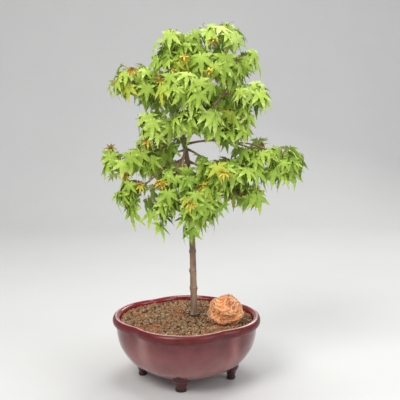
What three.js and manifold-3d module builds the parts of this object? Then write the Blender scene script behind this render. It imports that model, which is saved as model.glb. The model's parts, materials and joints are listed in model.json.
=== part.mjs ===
// A young green-leaved maple grown as a potted miniature tree.
// The pot is a lobed glazed bowl on four feet. It is filled with gritty soil, and a rough stone
// lies on the soil beside the trunk. Units are millimetres and +Z is up.
// The tree's front, where the trunk shows best, looks along -Y.
import * as THREE from 'three';
import { mergeVertices } from 'three/addons/utils/BufferGeometryUtils.js';
import Module from 'manifold-3d';

const wasm = await Module();
wasm.setup();

// Driving dimensions

// The gap between neighbouring pieces, and how near two points are taken as one
const CLEAR = 0.35;
const WELD = 2e-3;

const GOLDEN_ANGLE = Math.PI * (3 - Math.sqrt(5));
const GOLDEN_SHARE = 0.618;

// Profiles are pairs of radius and height, from the middle of the underside round to the middle
// of the inside. Four notches press the outline in, fully at the rim and less at the base. They lie
// a little nearer the front and the back than the sides, so the side lobes are the widest.
const POT = {
  turn: THREE.MathUtils.degToRad(-7),
  segments: 36,
  notches: 4,
  notchShift: THREE.MathUtils.degToRad(5),
  notchDepth: 0.08,
  notchSoftness: 0.12,
  notchNarrowing: 1.4,
  notchAtBase: 0.35,
  notchFullHeight: 90,
  outerWall: [[0, 20.5], [66, 21], [86, 29.5], [101, 44.5], [110.5, 62], [116, 93]],
  lip: [[119.2, 94], [121.2, 99], [119.5, 104.5], [115, 107], [109.5, 104.5]],
  innerWall: [[107.5, 88], [98, 52], [80, 33], [0, 28]],
};

// A foot is a round pad on a neck that flares out in a ledge under the bowl. The feet at the
// sides stand further out than those at the front and back.
const FOOT = {
  rings: [74, 66],
  sides: 10,
  narrowing: 0.8,
  profile: [[0, 0], [8.4, 0], [9.4, 2.4], [10.2, 9], [12.8, 16], [17.5, 20.5], [19, 24], [0, 27]],
};

// The soil's top is level in the middle, falls a little to the pot's wall and is raked into low
// mounds. They die away round the trunk's foot and at the wall.
const SOIL = {
  level: 102.5,
  edge: 101,
  rings: [107.9, 88, 66, 44, 22],
  wallGap: 0.6,
  mound: 1.1,
  moundSpacing: 23,
  moundSlant: [0.3, -0.4],
  calmAroundTrunk: [14, 34],
  calmAtWall: [92, 104],
};

// The stone is a rounded lump with a flat underside and a few broad swells
const STONE = {
  centre: [63.5, -31, 121],
  size: [54, 44, 51],
  detail: 3,
  underside: 0.86,
  swells: [
    { share: 0.035, along: [5, -4.3, 0], shift: 2.47 },
    { share: 0.035, along: [5, 4.3, 0], shift: 0.13 },
    { share: 0.049, along: [3, 0, 6.1], shift: 0 },
    { share: 0.05, along: [0, 9, -7], shift: 5 },
  ],
};

// Stations of the trunk's centre line, from the flat cut on the soil to the leader's tip,
// each with the radius of the wood there
const TRUNK = {
  stations: [
    { at: [12.6, 16, SOIL.level + CLEAR], radius: 6.8 },
    { at: [12.4, 15.6, 110], radius: 5.7 },
    { at: [11.4, 13.5, 150], radius: 5.4 },
    { at: [10.2, 10.5, 205], radius: 5.0 },
    { at: [8.4, 8.5, 260], radius: 4.6 },
    { at: [5.6, 6.5, 312], radius: 4.1 },
    { at: [2.6, 4, 354], radius: 3.9 },
    { at: [-2.2, 2, 384], radius: 3.6 },
    { at: [-5.6, 1.5, 406], radius: 3.3 },
    { at: [-14, 3, 428], radius: 2.9 },
    { at: [-21, 5, 452], radius: 2.4 },
    { at: [-25, 4, 476], radius: 1.9 },
  ],
  sides: 8,
  steps: 26,
  cutBand: 1.5,
  jointHeights: [147, 177, 210, 243, 275, 306, 334, 359, 386],
  jointSwelling: 0.16,
  jointHalfHeight: 3.2,
};

const BOUGH = { sides: 5, steps: 4, footRadius: 1.9, tipRadius: 1.35, footShare: 0.8, shortest: 0.12 };

// The stem carries a bough's line on through the inner part of its mass and a little past the
// middle. Its twigs are rooted from one share of its length to another.
const STEM = {
  sides: 4,
  steps: 2,
  tipRadius: 1.2,
  entersAt: 0.5,
  pastMiddle: 0.25,
  rootsFrom: 0.2,
  rootsSpan: 0.75,
  rootsShift: 0.3,
};
const TWIG = {
  sides: 3,
  radius: 0.85,
  tipRadius: 0.75,
  // How far out in the mass's space the tips lie, how far above the middle in general, and
  // from where to where they range: 1 is straight up
  far: 0.45,
  farSpread: 0.35,
  lift: 0.4,
  highest: 0.9,
  fall: 1.3,
  // What is tried in turn where a twig would touch a limb or leave its space
  tries: [
    { turn: 0, size: 1 },
    { turn: 0.8, size: 0.85 },
    { turn: -0.8, size: 0.7 },
  ],
  // Where the leaves stand along a twig, and how each is turned from facing out of the crown
  leaves: [
    { along: 0.97, turn: 0 },
    { along: 0.91, turn: 0.7 },
    { along: 0.85, turn: -0.7 },
    { along: 0.76, turn: 0.3 },
    { along: 0.7, turn: -0.35 },
    { along: 0.6, turn: 1 },
    { along: 0.53, turn: -1 },
    { along: 0.4, turn: 0.5 },
    { along: 0.33, turn: -0.6 },
  ],
};

const LEAF = {
  length: 34,
  lengthSpread: 0.3,
  thickness: 0.8,
  stalk: 9,
  stalkSpread: 10,
  stalkRootShare: 0.6,
  // How far the blade hangs below the level, and the angle that the stalk makes with the blade
  droop: 0.7,
  droopSpread: 0.55,
  bend: 1,
  bendSpread: 0.35,
  turnSpread: 0.5,
  rollSpread: 0.25,
  // How far the tips hang below the flat blade and how far the cuts stand above it, and where
  // the ribs meet, in shares of the leaf's length
  curl: 0.2,
  cutLift: 0.025,
  heart: 0.12,
  // The lobes of one half, from the middle one out: the angle off the midrib and the share of
  // the leaf's length, and then the same for the cuts between them
  lobes: [
    { angle: 0, share: 1 },
    { angle: 47, share: 0.84 },
    { angle: 98, share: 0.5 },
  ],
  cuts: [
    { angle: 22, share: 0.36 },
    { angle: 73, share: 0.3 },
  ],
  base: 0.08,
  // What is tried in turn where a leaf would touch something or leave its space
  tries: [
    { turn: 0, droop: 0, size: 1 },
    { turn: 0.5, droop: 0.12, size: 1 },
    { turn: -0.5, droop: 0.12, size: 1 },
    { turn: 1, droop: 0.2, size: 1 },
    { turn: -1, droop: 0.2, size: 1 },
    { turn: 1.6, droop: 0.25, size: 0.92 },
    { turn: -1.6, droop: 0.25, size: 0.92 },
    { turn: 2.3, droop: 0.3, size: 0.86 },
    { turn: -2.3, droop: 0.3, size: 0.86 },
    { turn: 3.1, droop: 0.3, size: 0.8 },
    { turn: 0.25, droop: 0.35, size: 0.8 },
    { turn: -0.25, droop: 0.35, size: 0.8 },
  ],
};

// Leaves face outward from this upright line through the crown
const CROWN_AXIS = { x: 8, y: 8 };

// How near a leaf may come to wood, to another leaf's middle and to the edge of its space
const SPACING = { toWood: 1.8, toLeaf: 1.4, toTwig: 1.5, toBorder: 0.2, pastReach: 1.25 };

// The limb that forks off the trunk and carries the masses on the right of the crown
const FORK = {
  name: 'bough_right_fork',
  parent: 'trunk',
  along: 0.655,
  to: [74, 0, 486],
  lift: -0.02,
  footRadius: 2.4,
};

// The masses of foliage. Each is centred in its own space and fed by one bough, which leaves its
// parent, the trunk where none is named, at the share of the parent's length given by along.
// Lift raises the middle of the bough above the straight line, in shares of its length.
// Shoots is the number of twigs, and seed is the mass's place in the list where none is given.
const COMMON_MASS = { parent: 'trunk', shoots: 4 };
const MASSES = [
  { name: 'apex_right', centre: [50, 4, 544], reach: [44, 40, 33], along: 0.94, lift: -0.1 },
  { name: 'apex_left', centre: [-9, -8, 533], reach: [46, 40, 38], along: 0.99, lift: 0, shoots: 5 },
  { name: 'crown_left', centre: [-74, -10, 476], reach: [44, 38, 36], along: 0.87, lift: 0.12 },
  { name: 'crown_front', centre: [2, -66, 463], reach: [44, 38, 42], along: 0.9, lift: 0.05, seed: 154 },
  {
    name: 'crown_inner_right',
    centre: [55, -24, 500],
    reach: [34, 34, 34],
    along: 0.9,
    lift: 0.04,
    parent: 'bough_right_fork',
  },
  {
    name: 'crown_right',
    centre: [84, 10, 506],
    reach: [36, 36, 30],
    along: 0.98,
    lift: 0.02,
    parent: 'bough_right_fork',
  },
  {
    name: 'right_middle',
    centre: [94, -22, 459],
    reach: [44, 36, 30],
    along: 0.8,
    lift: 0.04,
    parent: 'bough_right_fork',
    seed: 182,
  },
  { name: 'dome_low_front', centre: [16, -56, 424], reach: [42, 34, 28], along: 0.79, lift: 0.06 },
  {
    name: 'dome_low_right',
    centre: [79, -24, 412],
    reach: [38, 34, 32],
    along: 0.5,
    lift: -0.02,
    parent: 'bough_right_fork',
  },
  { name: 'dome_low_left', centre: [-47, -30, 409], reach: [40, 36, 32], along: 0.82, lift: 0.05 },
  { name: 'crown_back', centre: [12, 66, 508], reach: [46, 40, 40], along: 0.92, lift: 0.08 },
  { name: 'crown_back_left', centre: [-58, 58, 464], reach: [42, 38, 38], along: 0.85, lift: 0.08 },
  { name: 'crown_back_right', centre: [66, 64, 446], reach: [42, 38, 38], along: 0.77, lift: 0.05 },
  { name: 'left_middle', centre: [-60, -14, 370], reach: [42, 36, 28], along: 0.66, lift: 0.05 },
  {
    name: 'far_left',
    centre: [-112, 0, 350],
    reach: [24, 26, 34],
    along: 0.55,
    lift: 0.16,
    parent: 'bough_left_middle',
    shoots: 2,
  },
  { name: 'left_low', centre: [-84, -20, 303], reach: [34, 30, 44], along: 0.575, lift: 0.07 },
  { name: 'front_left_low', centre: [-34, -54, 291], reach: [36, 34, 44], along: 0.595, lift: 0.12 },
  { name: 'front_middle', centre: [-6, -50, 336], reach: [32, 32, 30], along: 0.625, lift: 0.1 },
  { name: 'front_low', centre: [16, -56, 289], reach: [36, 34, 44], along: 0.54, lift: 0.12, seed: 294 },
  { name: 'right_low', centre: [54, -34, 340], reach: [42, 34, 30], along: 0.62, lift: 0.08 },
  { name: 'right_low_tip', centre: [88, -20, 301], reach: [36, 30, 30], along: 0.56, lift: 0.06 },
  { name: 'far_right', centre: [124, -4, 366], reach: [34, 32, 30], along: 0.64, lift: 0.12 },
  {
    name: 'far_right_tip',
    centre: [157, -6, 352],
    reach: [34, 32, 34],
    along: 0.7,
    lift: 0.14,
    parent: 'bough_far_right',
  },
  { name: 'back_left_low', centre: [-42, 64, 340], reach: [44, 38, 38], along: 0.61, lift: 0.1 },
  { name: 'back_right_low', centre: [56, 62, 312], reach: [46, 38, 34], along: 0.55, lift: 0.12 },
].map((mass, k) => ({ ...COMMON_MASS, seed: k + 1, ...mass }));

const MATERIALS = {
  glaze: new THREE.MeshStandardMaterial({ color: 0x6e1f29, roughness: 0.25, metalness: 0 }),
  soil: new THREE.MeshStandardMaterial({ color: 0x7d6247, roughness: 0.95, metalness: 0 }),
  stone: new THREE.MeshStandardMaterial({ color: 0xd08a55, roughness: 0.85, metalness: 0 }),
  bark: new THREE.MeshStandardMaterial({ color: 0x8c6f58, roughness: 0.8, metalness: 0 }),
  foliage: new THREE.MeshStandardMaterial({ color: 0x8fbf4a, roughness: 0.55, metalness: 0 }),
};

// Small helpers

const vector = (triple) => new THREE.Vector3(...triple);
const UP = new THREE.Vector3(0, 0, 1);
const EAST = new THREE.Vector3(1, 0, 0);

// A seeded generator, so that every run grows the same tree
function seeded(seed) {
  const modulus = 2147483647;
  const multiplier = 16807;
  let state = (seed * 7919 + 104729) % modulus;
  const draw = () => {
    state = (state * multiplier) % modulus;
    return state / modulus;
  };
  draw();
  draw();
  return draw;
}

// Turns a closed geometry into a solid that can be joined or cut
function solidFrom(geometry) {
  const bare = geometry.clone();
  bare.deleteAttribute('normal');
  bare.deleteAttribute('uv');
  const merged = mergeVertices(bare, WELD);
  return new wasm.Manifold(
    new wasm.Mesh({
      numProp: 3,
      vertProperties: new Float32Array(merged.attributes.position.array),
      triVerts: new Uint32Array(merged.index.array),
      tolerance: WELD,
    }),
  );
}

// Turns a solid back into a geometry
function geometryFrom(solid) {
  const mesh = solid.getMesh();
  const positions = new Float32Array(mesh.numVert * 3);
  for (let i = 0; i < mesh.numVert; i += 1) {
    const start = i * mesh.numProp;
    positions.set(mesh.vertProperties.subarray(start, start + 3), i * 3);
  }
  const geometry = new THREE.BufferGeometry();
  geometry.setAttribute('position', new THREE.BufferAttribute(positions, 3));
  geometry.setIndex(new THREE.BufferAttribute(new Uint32Array(mesh.triVerts), 1));
  geometry.computeVertexNormals();
  return geometry;
}

// The largest connected piece of a solid: loose scraps and sealed hollows are dropped
function largestPiece(solid) {
  const pieces = solid.decompose();
  return pieces.reduce((best, piece) => (piece.volume() > best.volume() ? piece : best));
}

function mesh(name, geometry, material) {
  const made = new THREE.Mesh(geometry, material);
  made.name = name;
  return made;
}

// A closed tapering limb: a cylinder whose rings are laid along a curve, each turned as little
// as possible from the one before
function limbGeometry(curve, radiusAt, sides, steps, from = 0, to = 1) {
  const geometry = new THREE.CylinderGeometry(1, 1, 1, sides, steps);
  const position = geometry.attributes.position;
  const rings = [];
  const steep = Math.abs(curve.getTangent(from).z) > 0.9;
  let side = new THREE.Vector3().crossVectors(steep ? EAST : UP, curve.getTangent(from));
  for (let i = 0; i <= steps; i += 1) {
    const t = THREE.MathUtils.lerp(from, to, i / steps);
    const direction = curve.getTangent(t);
    side = side.clone().addScaledVector(direction, -side.dot(direction)).normalize();
    const other = new THREE.Vector3().crossVectors(direction, side);
    rings.push({ centre: curve.getPoint(t), side, other, radius: radiusAt(t) });
  }
  for (let i = 0; i < position.count; i += 1) {
    const ring = rings[Math.round((position.getY(i) + 0.5) * steps)];
    const point = ring.centre
      .clone()
      .addScaledVector(ring.side, -position.getZ(i) * ring.radius)
      .addScaledVector(ring.other, -position.getX(i) * ring.radius);
    position.setXYZ(i, point.x, point.y, point.z);
  }
  return geometry;
}

// Pot, soil and stone

// The share of the full radius that the lobed outline has at an angle
function lobedShare(angle, depth) {
  const soft = POT.notchSoftness;
  const widest = Math.hypot(1, soft);
  const turned = angle - POT.turn;
  const shifted = turned - POT.notchShift * Math.sin((POT.notches / 2) * turned);
  const wave = Math.hypot(Math.cos((POT.notches / 2) * shifted), soft);
  const notch = (widest - wave) / (widest - soft);
  return 1 - depth * notch ** POT.notchNarrowing;
}

// A lathe whose rings are pressed in at the notches
function lobedLathe(profile) {
  const geometry = latheGeometry(profile, POT.segments, POT.turn);
  const base = POT.outerWall[0][1];
  const position = geometry.attributes.position;
  for (let i = 0; i < position.count; i += 1) {
    const x = position.getX(i);
    const y = position.getY(i);
    const height = position.getZ(i);
    const rise = THREE.MathUtils.smoothstep(height, base, POT.notchFullHeight);
    const depth = POT.notchDepth * THREE.MathUtils.lerp(POT.notchAtBase, 1, rise);
    const share = lobedShare(Math.atan2(y, x), depth);
    position.setXYZ(i, x * share, y * share, height);
  }
  return geometry;
}

// A profile turned about the upright axis
function latheGeometry(profile, segments, turn = 0) {
  const points = profile.map(([radius, height]) => new THREE.Vector2(radius, height));
  return new THREE.LatheGeometry(points, segments, turn).rotateX(Math.PI / 2);
}

// A foot stands under the middle of each lobe
function footGeometry(k) {
  const geometry = latheGeometry(FOOT.profile, FOOT.sides);
  geometry.scale(FOOT.narrowing, 1, 1);
  geometry.translate(FOOT.rings[k % FOOT.rings.length], 0, 0);
  geometry.rotateZ(POT.turn + (2 * Math.PI * k) / POT.notches);
  return geometry;
}

function potGeometry() {
  let pot = solidFrom(lobedLathe([...POT.outerWall, ...POT.lip, ...POT.innerWall]));
  for (let k = 0; k < POT.notches; k += 1) pot = pot.add(solidFrom(footGeometry(k)));
  return geometryFrom(pot);
}

// The stone, or the hollow for it, which is larger all round by the amount to grow
function stoneGeometry(grow = 0) {
  const geometry = new THREE.IcosahedronGeometry(1, STONE.detail);
  const position = geometry.attributes.position;
  const half = vector(STONE.size).divideScalar(2).addScalar(grow);
  for (let i = 0; i < position.count; i += 1) {
    const point = new THREE.Vector3().fromBufferAttribute(position, i).normalize();
    const swells = STONE.swells.map(({ share, along, shift }) => {
      return share * Math.sin(point.dot(vector(along)) + shift);
    });
    point.multiplyScalar(1 + swells.reduce((sum, swell) => sum + swell));
    point.z = Math.max(point.z, -STONE.underside);
    point.multiply(half);
    position.setXYZ(i, point.x, point.y, point.z);
  }
  geometry.translate(...STONE.centre);
  return geometry;
}

// Height of the soil's top above a point
function soilHeight(x, y) {
  const { lerp, smoothstep } = THREE.MathUtils;
  const radius = Math.hypot(x, y);
  const [foot] = TRUNK.stations;
  const fromTrunk = Math.hypot(x - foot.at[0], y - foot.at[1]);
  const raked = smoothstep(fromTrunk, ...SOIL.calmAroundTrunk) * (1 - smoothstep(radius, ...SOIL.calmAtWall));
  const wave = Math.PI / SOIL.moundSpacing;
  const [slantX, slantY] = SOIL.moundSlant;
  const mounds = Math.sin(wave * (x + slantX * y)) * Math.cos(wave * (y + slantY * x));
  return lerp(SOIL.level, SOIL.edge, (radius / SOIL.rings[0]) ** 2) + SOIL.mound * raked * mounds;
}

// The soil fills the pot up to its lip and is hollowed under the stone
function soilGeometry() {
  const inward = [...POT.innerWall].reverse();
  const wall = inward.map(([radius, height]) => [Math.max(0, radius - SOIL.wallGap), height + SOIL.wallGap]);
  const top = [...SOIL.rings, 0].map((radius) => [radius, SOIL.level]);
  const geometry = lobedLathe([...wall, ...top]);
  const position = geometry.attributes.position;
  for (let i = 0; i < position.count; i += 1) {
    if (position.getZ(i) < SOIL.edge) continue;
    position.setZ(i, soilHeight(position.getX(i), position.getY(i)));
  }
  return geometryFrom(solidFrom(geometry).subtract(solidFrom(stoneGeometry(CLEAR))));
}

// Limbs

const TRUNK_CURVE = new THREE.CatmullRomCurve3(
  TRUNK.stations.map((station) => vector(station.at)),
  false,
  'catmullrom',
  0.5,
);

// Radius of the trunk's wood along its curve, swollen at the joints where leaves once grew
function trunkRadius(t) {
  const last = TRUNK.stations.length - 1;
  const k = Math.min(Math.floor(t * last), last - 1);
  const below = TRUNK.stations[k].radius;
  const above = TRUNK.stations[k + 1].radius;
  const height = TRUNK_CURVE.getPoint(t).z;
  const nearest = Math.min(...TRUNK.jointHeights.map((joint) => Math.abs(joint - height)));
  const swelling = Math.max(0, 1 - nearest / TRUNK.jointHalfHeight);
  return THREE.MathUtils.lerp(below, above, t * last - k) * (1 + TRUNK.jointSwelling * swelling);
}

// The trunk stands on a flat cut at the top of the soil
function trunkGeometry() {
  const geometry = limbGeometry(TRUNK_CURVE, trunkRadius, TRUNK.sides, TRUNK.steps);
  const position = geometry.attributes.position;
  const foot = SOIL.level + CLEAR;
  for (let i = 0; i < position.count; i += 1) {
    if (position.getZ(i) < foot + TRUNK.cutBand) position.setZ(i, foot);
  }
  return geometry;
}

// Lays out every limb. A limb that feeds a mass runs from its parent's middle line into the
// mass's space: the first part of the curve is the bough, and the rest is the mass's stem.
function layOutLimbs() {
  const trunk = {
    name: 'trunk',
    curve: TRUNK_CURVE,
    radiusAt: trunkRadius,
    enter: 1,
    sides: TRUNK.sides,
    steps: TRUNK.steps,
  };
  const limbs = new Map([['trunk', trunk]]);
  const boughs = MASSES.map((mass) => {
    const { parent, along, lift, centre } = mass;
    const { footRadius } = BOUGH;
    return { name: `bough_${mass.name}`, parent, along, lift, to: centre, footRadius, mass };
  });
  for (const bough of [FORK, ...boughs]) {
    limbs.set(bough.name, layOutBough(bough, limbs.get(bough.parent)));
  }
  return limbs;
}

function layOutBough({ name, along, to, lift, footRadius, mass }, parent) {
  const start = parent.curve.getPoint(along * parent.enter);
  const end = vector(to);
  const line = end.clone().sub(start);
  const length = line.length();
  if (mass) end.addScaledVector(line, (STEM.pastMiddle * mass.reach[0]) / length);
  const bend = start.clone().lerp(end, 0.5).addScaledVector(UP, 2 * lift * length);
  const curve = new THREE.QuadraticBezierCurve3(start, bend, end);
  const enter = mass ? enterShare(curve, mass) : 1;
  const foot = Math.min(footRadius, BOUGH.footShare * parent.radiusAt(along * parent.enter));
  const radiusAt = (t) => THREE.MathUtils.lerp(foot, BOUGH.tipRadius, Math.min(1, t / enter));
  return { name, parent, mass, curve, enter, radiusAt, sides: BOUGH.sides, steps: BOUGH.steps };
}

// The share of the curve at which it enters the inner part of a mass's space
function enterShare(curve, mass) {
  const steps = 100;
  for (let i = 0; i < steps; i += 1) {
    const share = i / steps;
    if (spaceShare(curve.getPoint(share), mass) < STEM.entersAt) return Math.max(BOUGH.shortest, share);
  }
  throw new Error(`The bough of ${mass.name} misses its mass`);
}

// How far out a point lies in a mass's space: 0 at its centre and 1 at its edge
function spaceShare(point, mass) {
  const parts = mass.reach.map((reach, k) => (point.getComponent(k) - mass.centre[k]) / reach);
  return Math.hypot(...parts);
}

// Straight stretches of all limbs, for measuring how near a twig or leaf comes to wood
function woodStretches(limbs) {
  const stretches = [];
  for (const limb of limbs.values()) {
    for (let i = 0; i < limb.steps; i += 1) {
      const t0 = (limb.enter * i) / limb.steps;
      const t1 = (limb.enter * (i + 1)) / limb.steps;
      stretches.push({
        a: limb.curve.getPoint(t0),
        b: limb.curve.getPoint(t1),
        radius: Math.max(limb.radiusAt(t0), limb.radiusAt(t1)),
      });
    }
  }
  return stretches;
}

// The shortest distance between two straight stretches
function stretchDistance(a0, a1, b0, b1) {
  const u = a1.clone().sub(a0);
  const v = b1.clone().sub(b0);
  const w = a0.clone().sub(b0);
  const uu = u.dot(u);
  const uv = u.dot(v);
  const vv = v.dot(v);
  const uw = u.dot(w);
  const vw = v.dot(w);
  const square = uu * vv - uv * uv;
  const nearlyZero = 1e-9;
  const share = (part, whole) => (whole > nearlyZero ? THREE.MathUtils.clamp(part / whole, 0, 1) : 0);
  let s = share(uv * vw - vv * uw, square);
  const t = share(uv * s + vw, vv);
  s = share(uv * t - uw, uu);
  return w.addScaledVector(u, s).addScaledVector(v, -t).length();
}

// How far a point lies on a mass's side of the flat border that it shares with another
function borderDistance(point, mass, other) {
  const size = ({ reach }) => (reach[0] + reach[1] + reach[2]) / 3;
  const own = point.distanceToSquared(vector(mass.centre)) - size(mass) ** 2;
  const theirs = point.distanceToSquared(vector(other.centre)) - size(other) ** 2;
  return (theirs - own) / (2 * vector(mass.centre).distanceTo(vector(other.centre)));
}

// Whether all the points lie in the mass's own space: inside its reach and its borders
function keepsToSpace(points, mass) {
  return points.every((point) => {
    if (spaceShare(point, mass) > SPACING.pastReach) return false;
    return MASSES.every((other) => other === mass || borderDistance(point, mass, other) > SPACING.toBorder);
  });
}

// How near two leaves come to each other, measured between the ribs and rims of their blades
// and from the stalk of each to the blade of the other
function leafDistance(one, two) {
  if (one.heart.distanceTo(two.heart) > 2 * LEAF.length) return Infinity;
  return Math.min(
    linesDistance(one.blade, two.blade),
    linesDistance([one.stalkLine], two.blade),
    linesDistance(one.blade, [two.stalkLine]),
  );
}

const linesDistance = (lines, others) =>
  Math.min(...lines.flatMap((line) => others.map((other) => stretchDistance(...line, ...other))));

// Whether straight edges keep clear of all the wood by a distance
function clearOfWood(edges, radius, stretches) {
  return edges.every(([a, b]) => {
    const middle = a.clone().lerp(b, 0.5);
    const half = a.distanceTo(b) / 2;
    return stretches.every((wood) => {
      const need = wood.radius + radius;
      const woodHalf = wood.a.distanceTo(wood.b) / 2;
      if (middle.distanceTo(wood.a.clone().lerp(wood.b, 0.5)) > half + woodHalf + need) return true;
      return stretchDistance(a, b, wood.a, wood.b) > need;
    });
  });
}

// Leaves

// The leaf's outline, going round from its tip, in its own frame: x runs out along the midrib,
// y across, and z is the upper side. Tips hang below the middle of the blade.
function leafOutline(length) {
  const half = [];
  LEAF.lobes.forEach((lobe, k) => {
    half.push({ ...lobe, height: -LEAF.curl * lobe.share ** 2 });
    if (LEAF.cuts[k]) half.push({ ...LEAF.cuts[k], height: LEAF.cutLift });
  });
  const place = ({ angle, share, height }, side) => {
    const turn = side * THREE.MathUtils.degToRad(angle);
    return vector([share * Math.cos(turn), share * Math.sin(turn), height]).multiplyScalar(length);
  };
  const left = half.map((point) => place(point, 1));
  const right = half.slice(1).map((point) => place(point, -1)).reverse();
  return [...left, new THREE.Vector3(-LEAF.base * length, 0, 0), ...right];
}

// What is drawn for each leaf, in this order
const LEAF_DRAWS = ['turn', 'droop', 'bend', 'roll', 'length', 'stalk'];

// Where the lobes' tips and the base come in that outline
const LEAF_TIPS = [0, 2, 4, 6, 8];
const LEAF_BASE = 5;

// The frame in which a leaf's outline is laid: at its stalk's end, turned and drooping
function leafFrame(leaf) {
  const out = new THREE.Vector3(Math.cos(leaf.heading), Math.sin(leaf.heading), 0);
  const stalkEnd = leaf.root
    .clone()
    .addScaledVector(out, leaf.stalk * Math.cos(leaf.rise))
    .addScaledVector(UP, leaf.stalk * Math.sin(leaf.rise));
  const along = out
    .clone()
    .multiplyScalar(Math.cos(leaf.droop))
    .addScaledVector(UP, -Math.sin(leaf.droop));
  const across = new THREE.Vector3().crossVectors(UP, out);
  const top = new THREE.Vector3().crossVectors(along, across);
  const roll = new THREE.Quaternion().setFromAxisAngle(along, leaf.roll);
  return new THREE.Matrix4()
    .makeBasis(along, across.applyQuaternion(roll), top.applyQuaternion(roll))
    .setPosition(stalkEnd);
}

function leafPoints(leaf) {
  const frame = leafFrame(leaf);
  const outline = leafOutline(leaf.length).map((point) => point.applyMatrix4(frame));
  const heart = new THREE.Vector3(LEAF.heart * leaf.length, 0, 0).applyMatrix4(frame);
  const across = new THREE.Vector3().setFromMatrixColumn(frame, 1);
  const normal = new THREE.Vector3().setFromMatrixColumn(frame, 2);
  const ribs = LEAF_TIPS.map((k) => [heart, outline[k]]);
  const rim = outline.map((point, k) => [point, outline[(k + 1) % outline.length]]);
  return { outline, heart, across, normal, blade: [...ribs, ...rim], stalkLine: [leaf.root, heart] };
}

// A thin blade and its stalk as one closed shape. The blade has its own outline, and both of its
// sides fan out from its foot, where it is thickest. The stalk is three-sided and starts inside
// the twig.
function leafGeometry(leaf) {
  const { outline, across, normal } = leaf;
  const half = LEAF.thickness / 2;
  const foot = outline[LEAF_BASE];
  const over = foot.clone().addScaledVector(normal, half);
  const under = foot.clone().addScaledVector(normal, -LEAF.thickness);
  const left = foot.clone().addScaledVector(across, half);
  const right = foot.clone().addScaledVector(across, -half);
  const rim = [...outline.slice(0, LEAF_BASE), left, right, ...outline.slice(LEAF_BASE + 1)];
  const socket = left.clone().add(right).add(under).divideScalar(3);
  const sunk = [left, right, under].map((point) => {
    return point.clone().sub(socket).multiplyScalar(LEAF.stalkRootShare).add(leaf.root);
  });
  const count = rim.length;
  const overIndex = count;
  const underIndex = count + 1;
  const index = [];
  for (let i = 0; i < count; i += 1) {
    const next = (i + 1) % count;
    index.push(i, next, overIndex);
    if (i !== LEAF_BASE) index.push(next, i, underIndex);
  }
  const near = [LEAF_BASE, LEAF_BASE + 1, underIndex];
  const far = [count + 2, count + 3, count + 4];
  for (let i = 0; i < 3; i += 1) {
    const next = (i + 1) % 3;
    index.push(near[next], near[i], far[i], far[i], far[next], near[next]);
  }
  index.push(far[0], far[2], far[1]);
  const geometry = new THREE.BufferGeometry().setFromPoints([...rim, over, under, ...sunk]);
  geometry.setIndex(index);
  return geometry;
}

// Growing a mass

// The leaf that a twig would carry, turned and shortened at each new try
function leafAt(root, heading, draws, trial) {
  const [turnDraw, droopDraw, bendDraw, rollDraw, lengthDraw, stalkDraw] = draws;
  const droop = LEAF.droop + LEAF.droopSpread * droopDraw + trial.droop;
  return {
    root,
    heading: heading + LEAF.turnSpread * (turnDraw - 0.5) + trial.turn,
    droop,
    rise: LEAF.bend - droop + LEAF.bendSpread * bendDraw,
    roll: LEAF.rollSpread * (rollDraw - 0.5),
    length: LEAF.length * (1 + LEAF.lengthSpread * (lengthDraw - 0.5)) * trial.size,
    stalk: (LEAF.stalk + LEAF.stalkSpread * stalkDraw) * trial.size,
  };
}

// The middle of a mass's stem, as the straight stretches that its solid is made of
function stemLines(limb) {
  const path = new THREE.CurvePath();
  const at = (step) => limb.curve.getPoint(THREE.MathUtils.lerp(limb.enter, 1, step / STEM.steps));
  for (let step = 0; step < STEM.steps; step += 1) path.add(new THREE.LineCurve3(at(step), at(step + 1)));
  return path;
}

// The twigs of a mass spiral round its stem towards points spread through its space. A twig that
// would touch wood or leave the space is tried again, turned and shorter, and then skipped.
function growTwigs(mass, stem, stretches) {
  const draw = seeded(mass.seed);
  const centre = vector(mass.centre);
  const reach = vector(mass.reach);
  const twigs = [];
  for (let k = 0; k < mass.shoots; k += 1) {
    const lift = TWIG.highest - (TWIG.fall * (k + 0.5)) / mass.shoots;
    const flat = Math.sqrt(1 - lift * lift);
    const far = TWIG.far + TWIG.farSpread * draw();
    const draws = TWIG.leaves.map(() => LEAF_DRAWS.map(() => draw()));
    const share = (k * GOLDEN_SHARE + STEM.rootsShift) % 1;
    const root = stem.getPoint(STEM.rootsFrom + STEM.rootsSpan * share);
    for (const trial of TWIG.tries) {
      const turn = k * GOLDEN_ANGLE + mass.seed + trial.turn;
      const out = far * trial.size;
      const level = vector([Math.cos(turn), Math.sin(turn), 0]).multiplyScalar(flat * out);
      const tip = level.addScaledVector(UP, lift * out + TWIG.lift).multiply(reach).add(centre);
      if (!keepsToSpace([tip], mass)) continue;
      if (!clearOfWood([[root, tip]], TWIG.radius + CLEAR, stretches)) continue;
      twigs.push({ line: new THREE.LineCurve3(root, tip), draws });
      break;
    }
  }
  return twigs;
}

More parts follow.
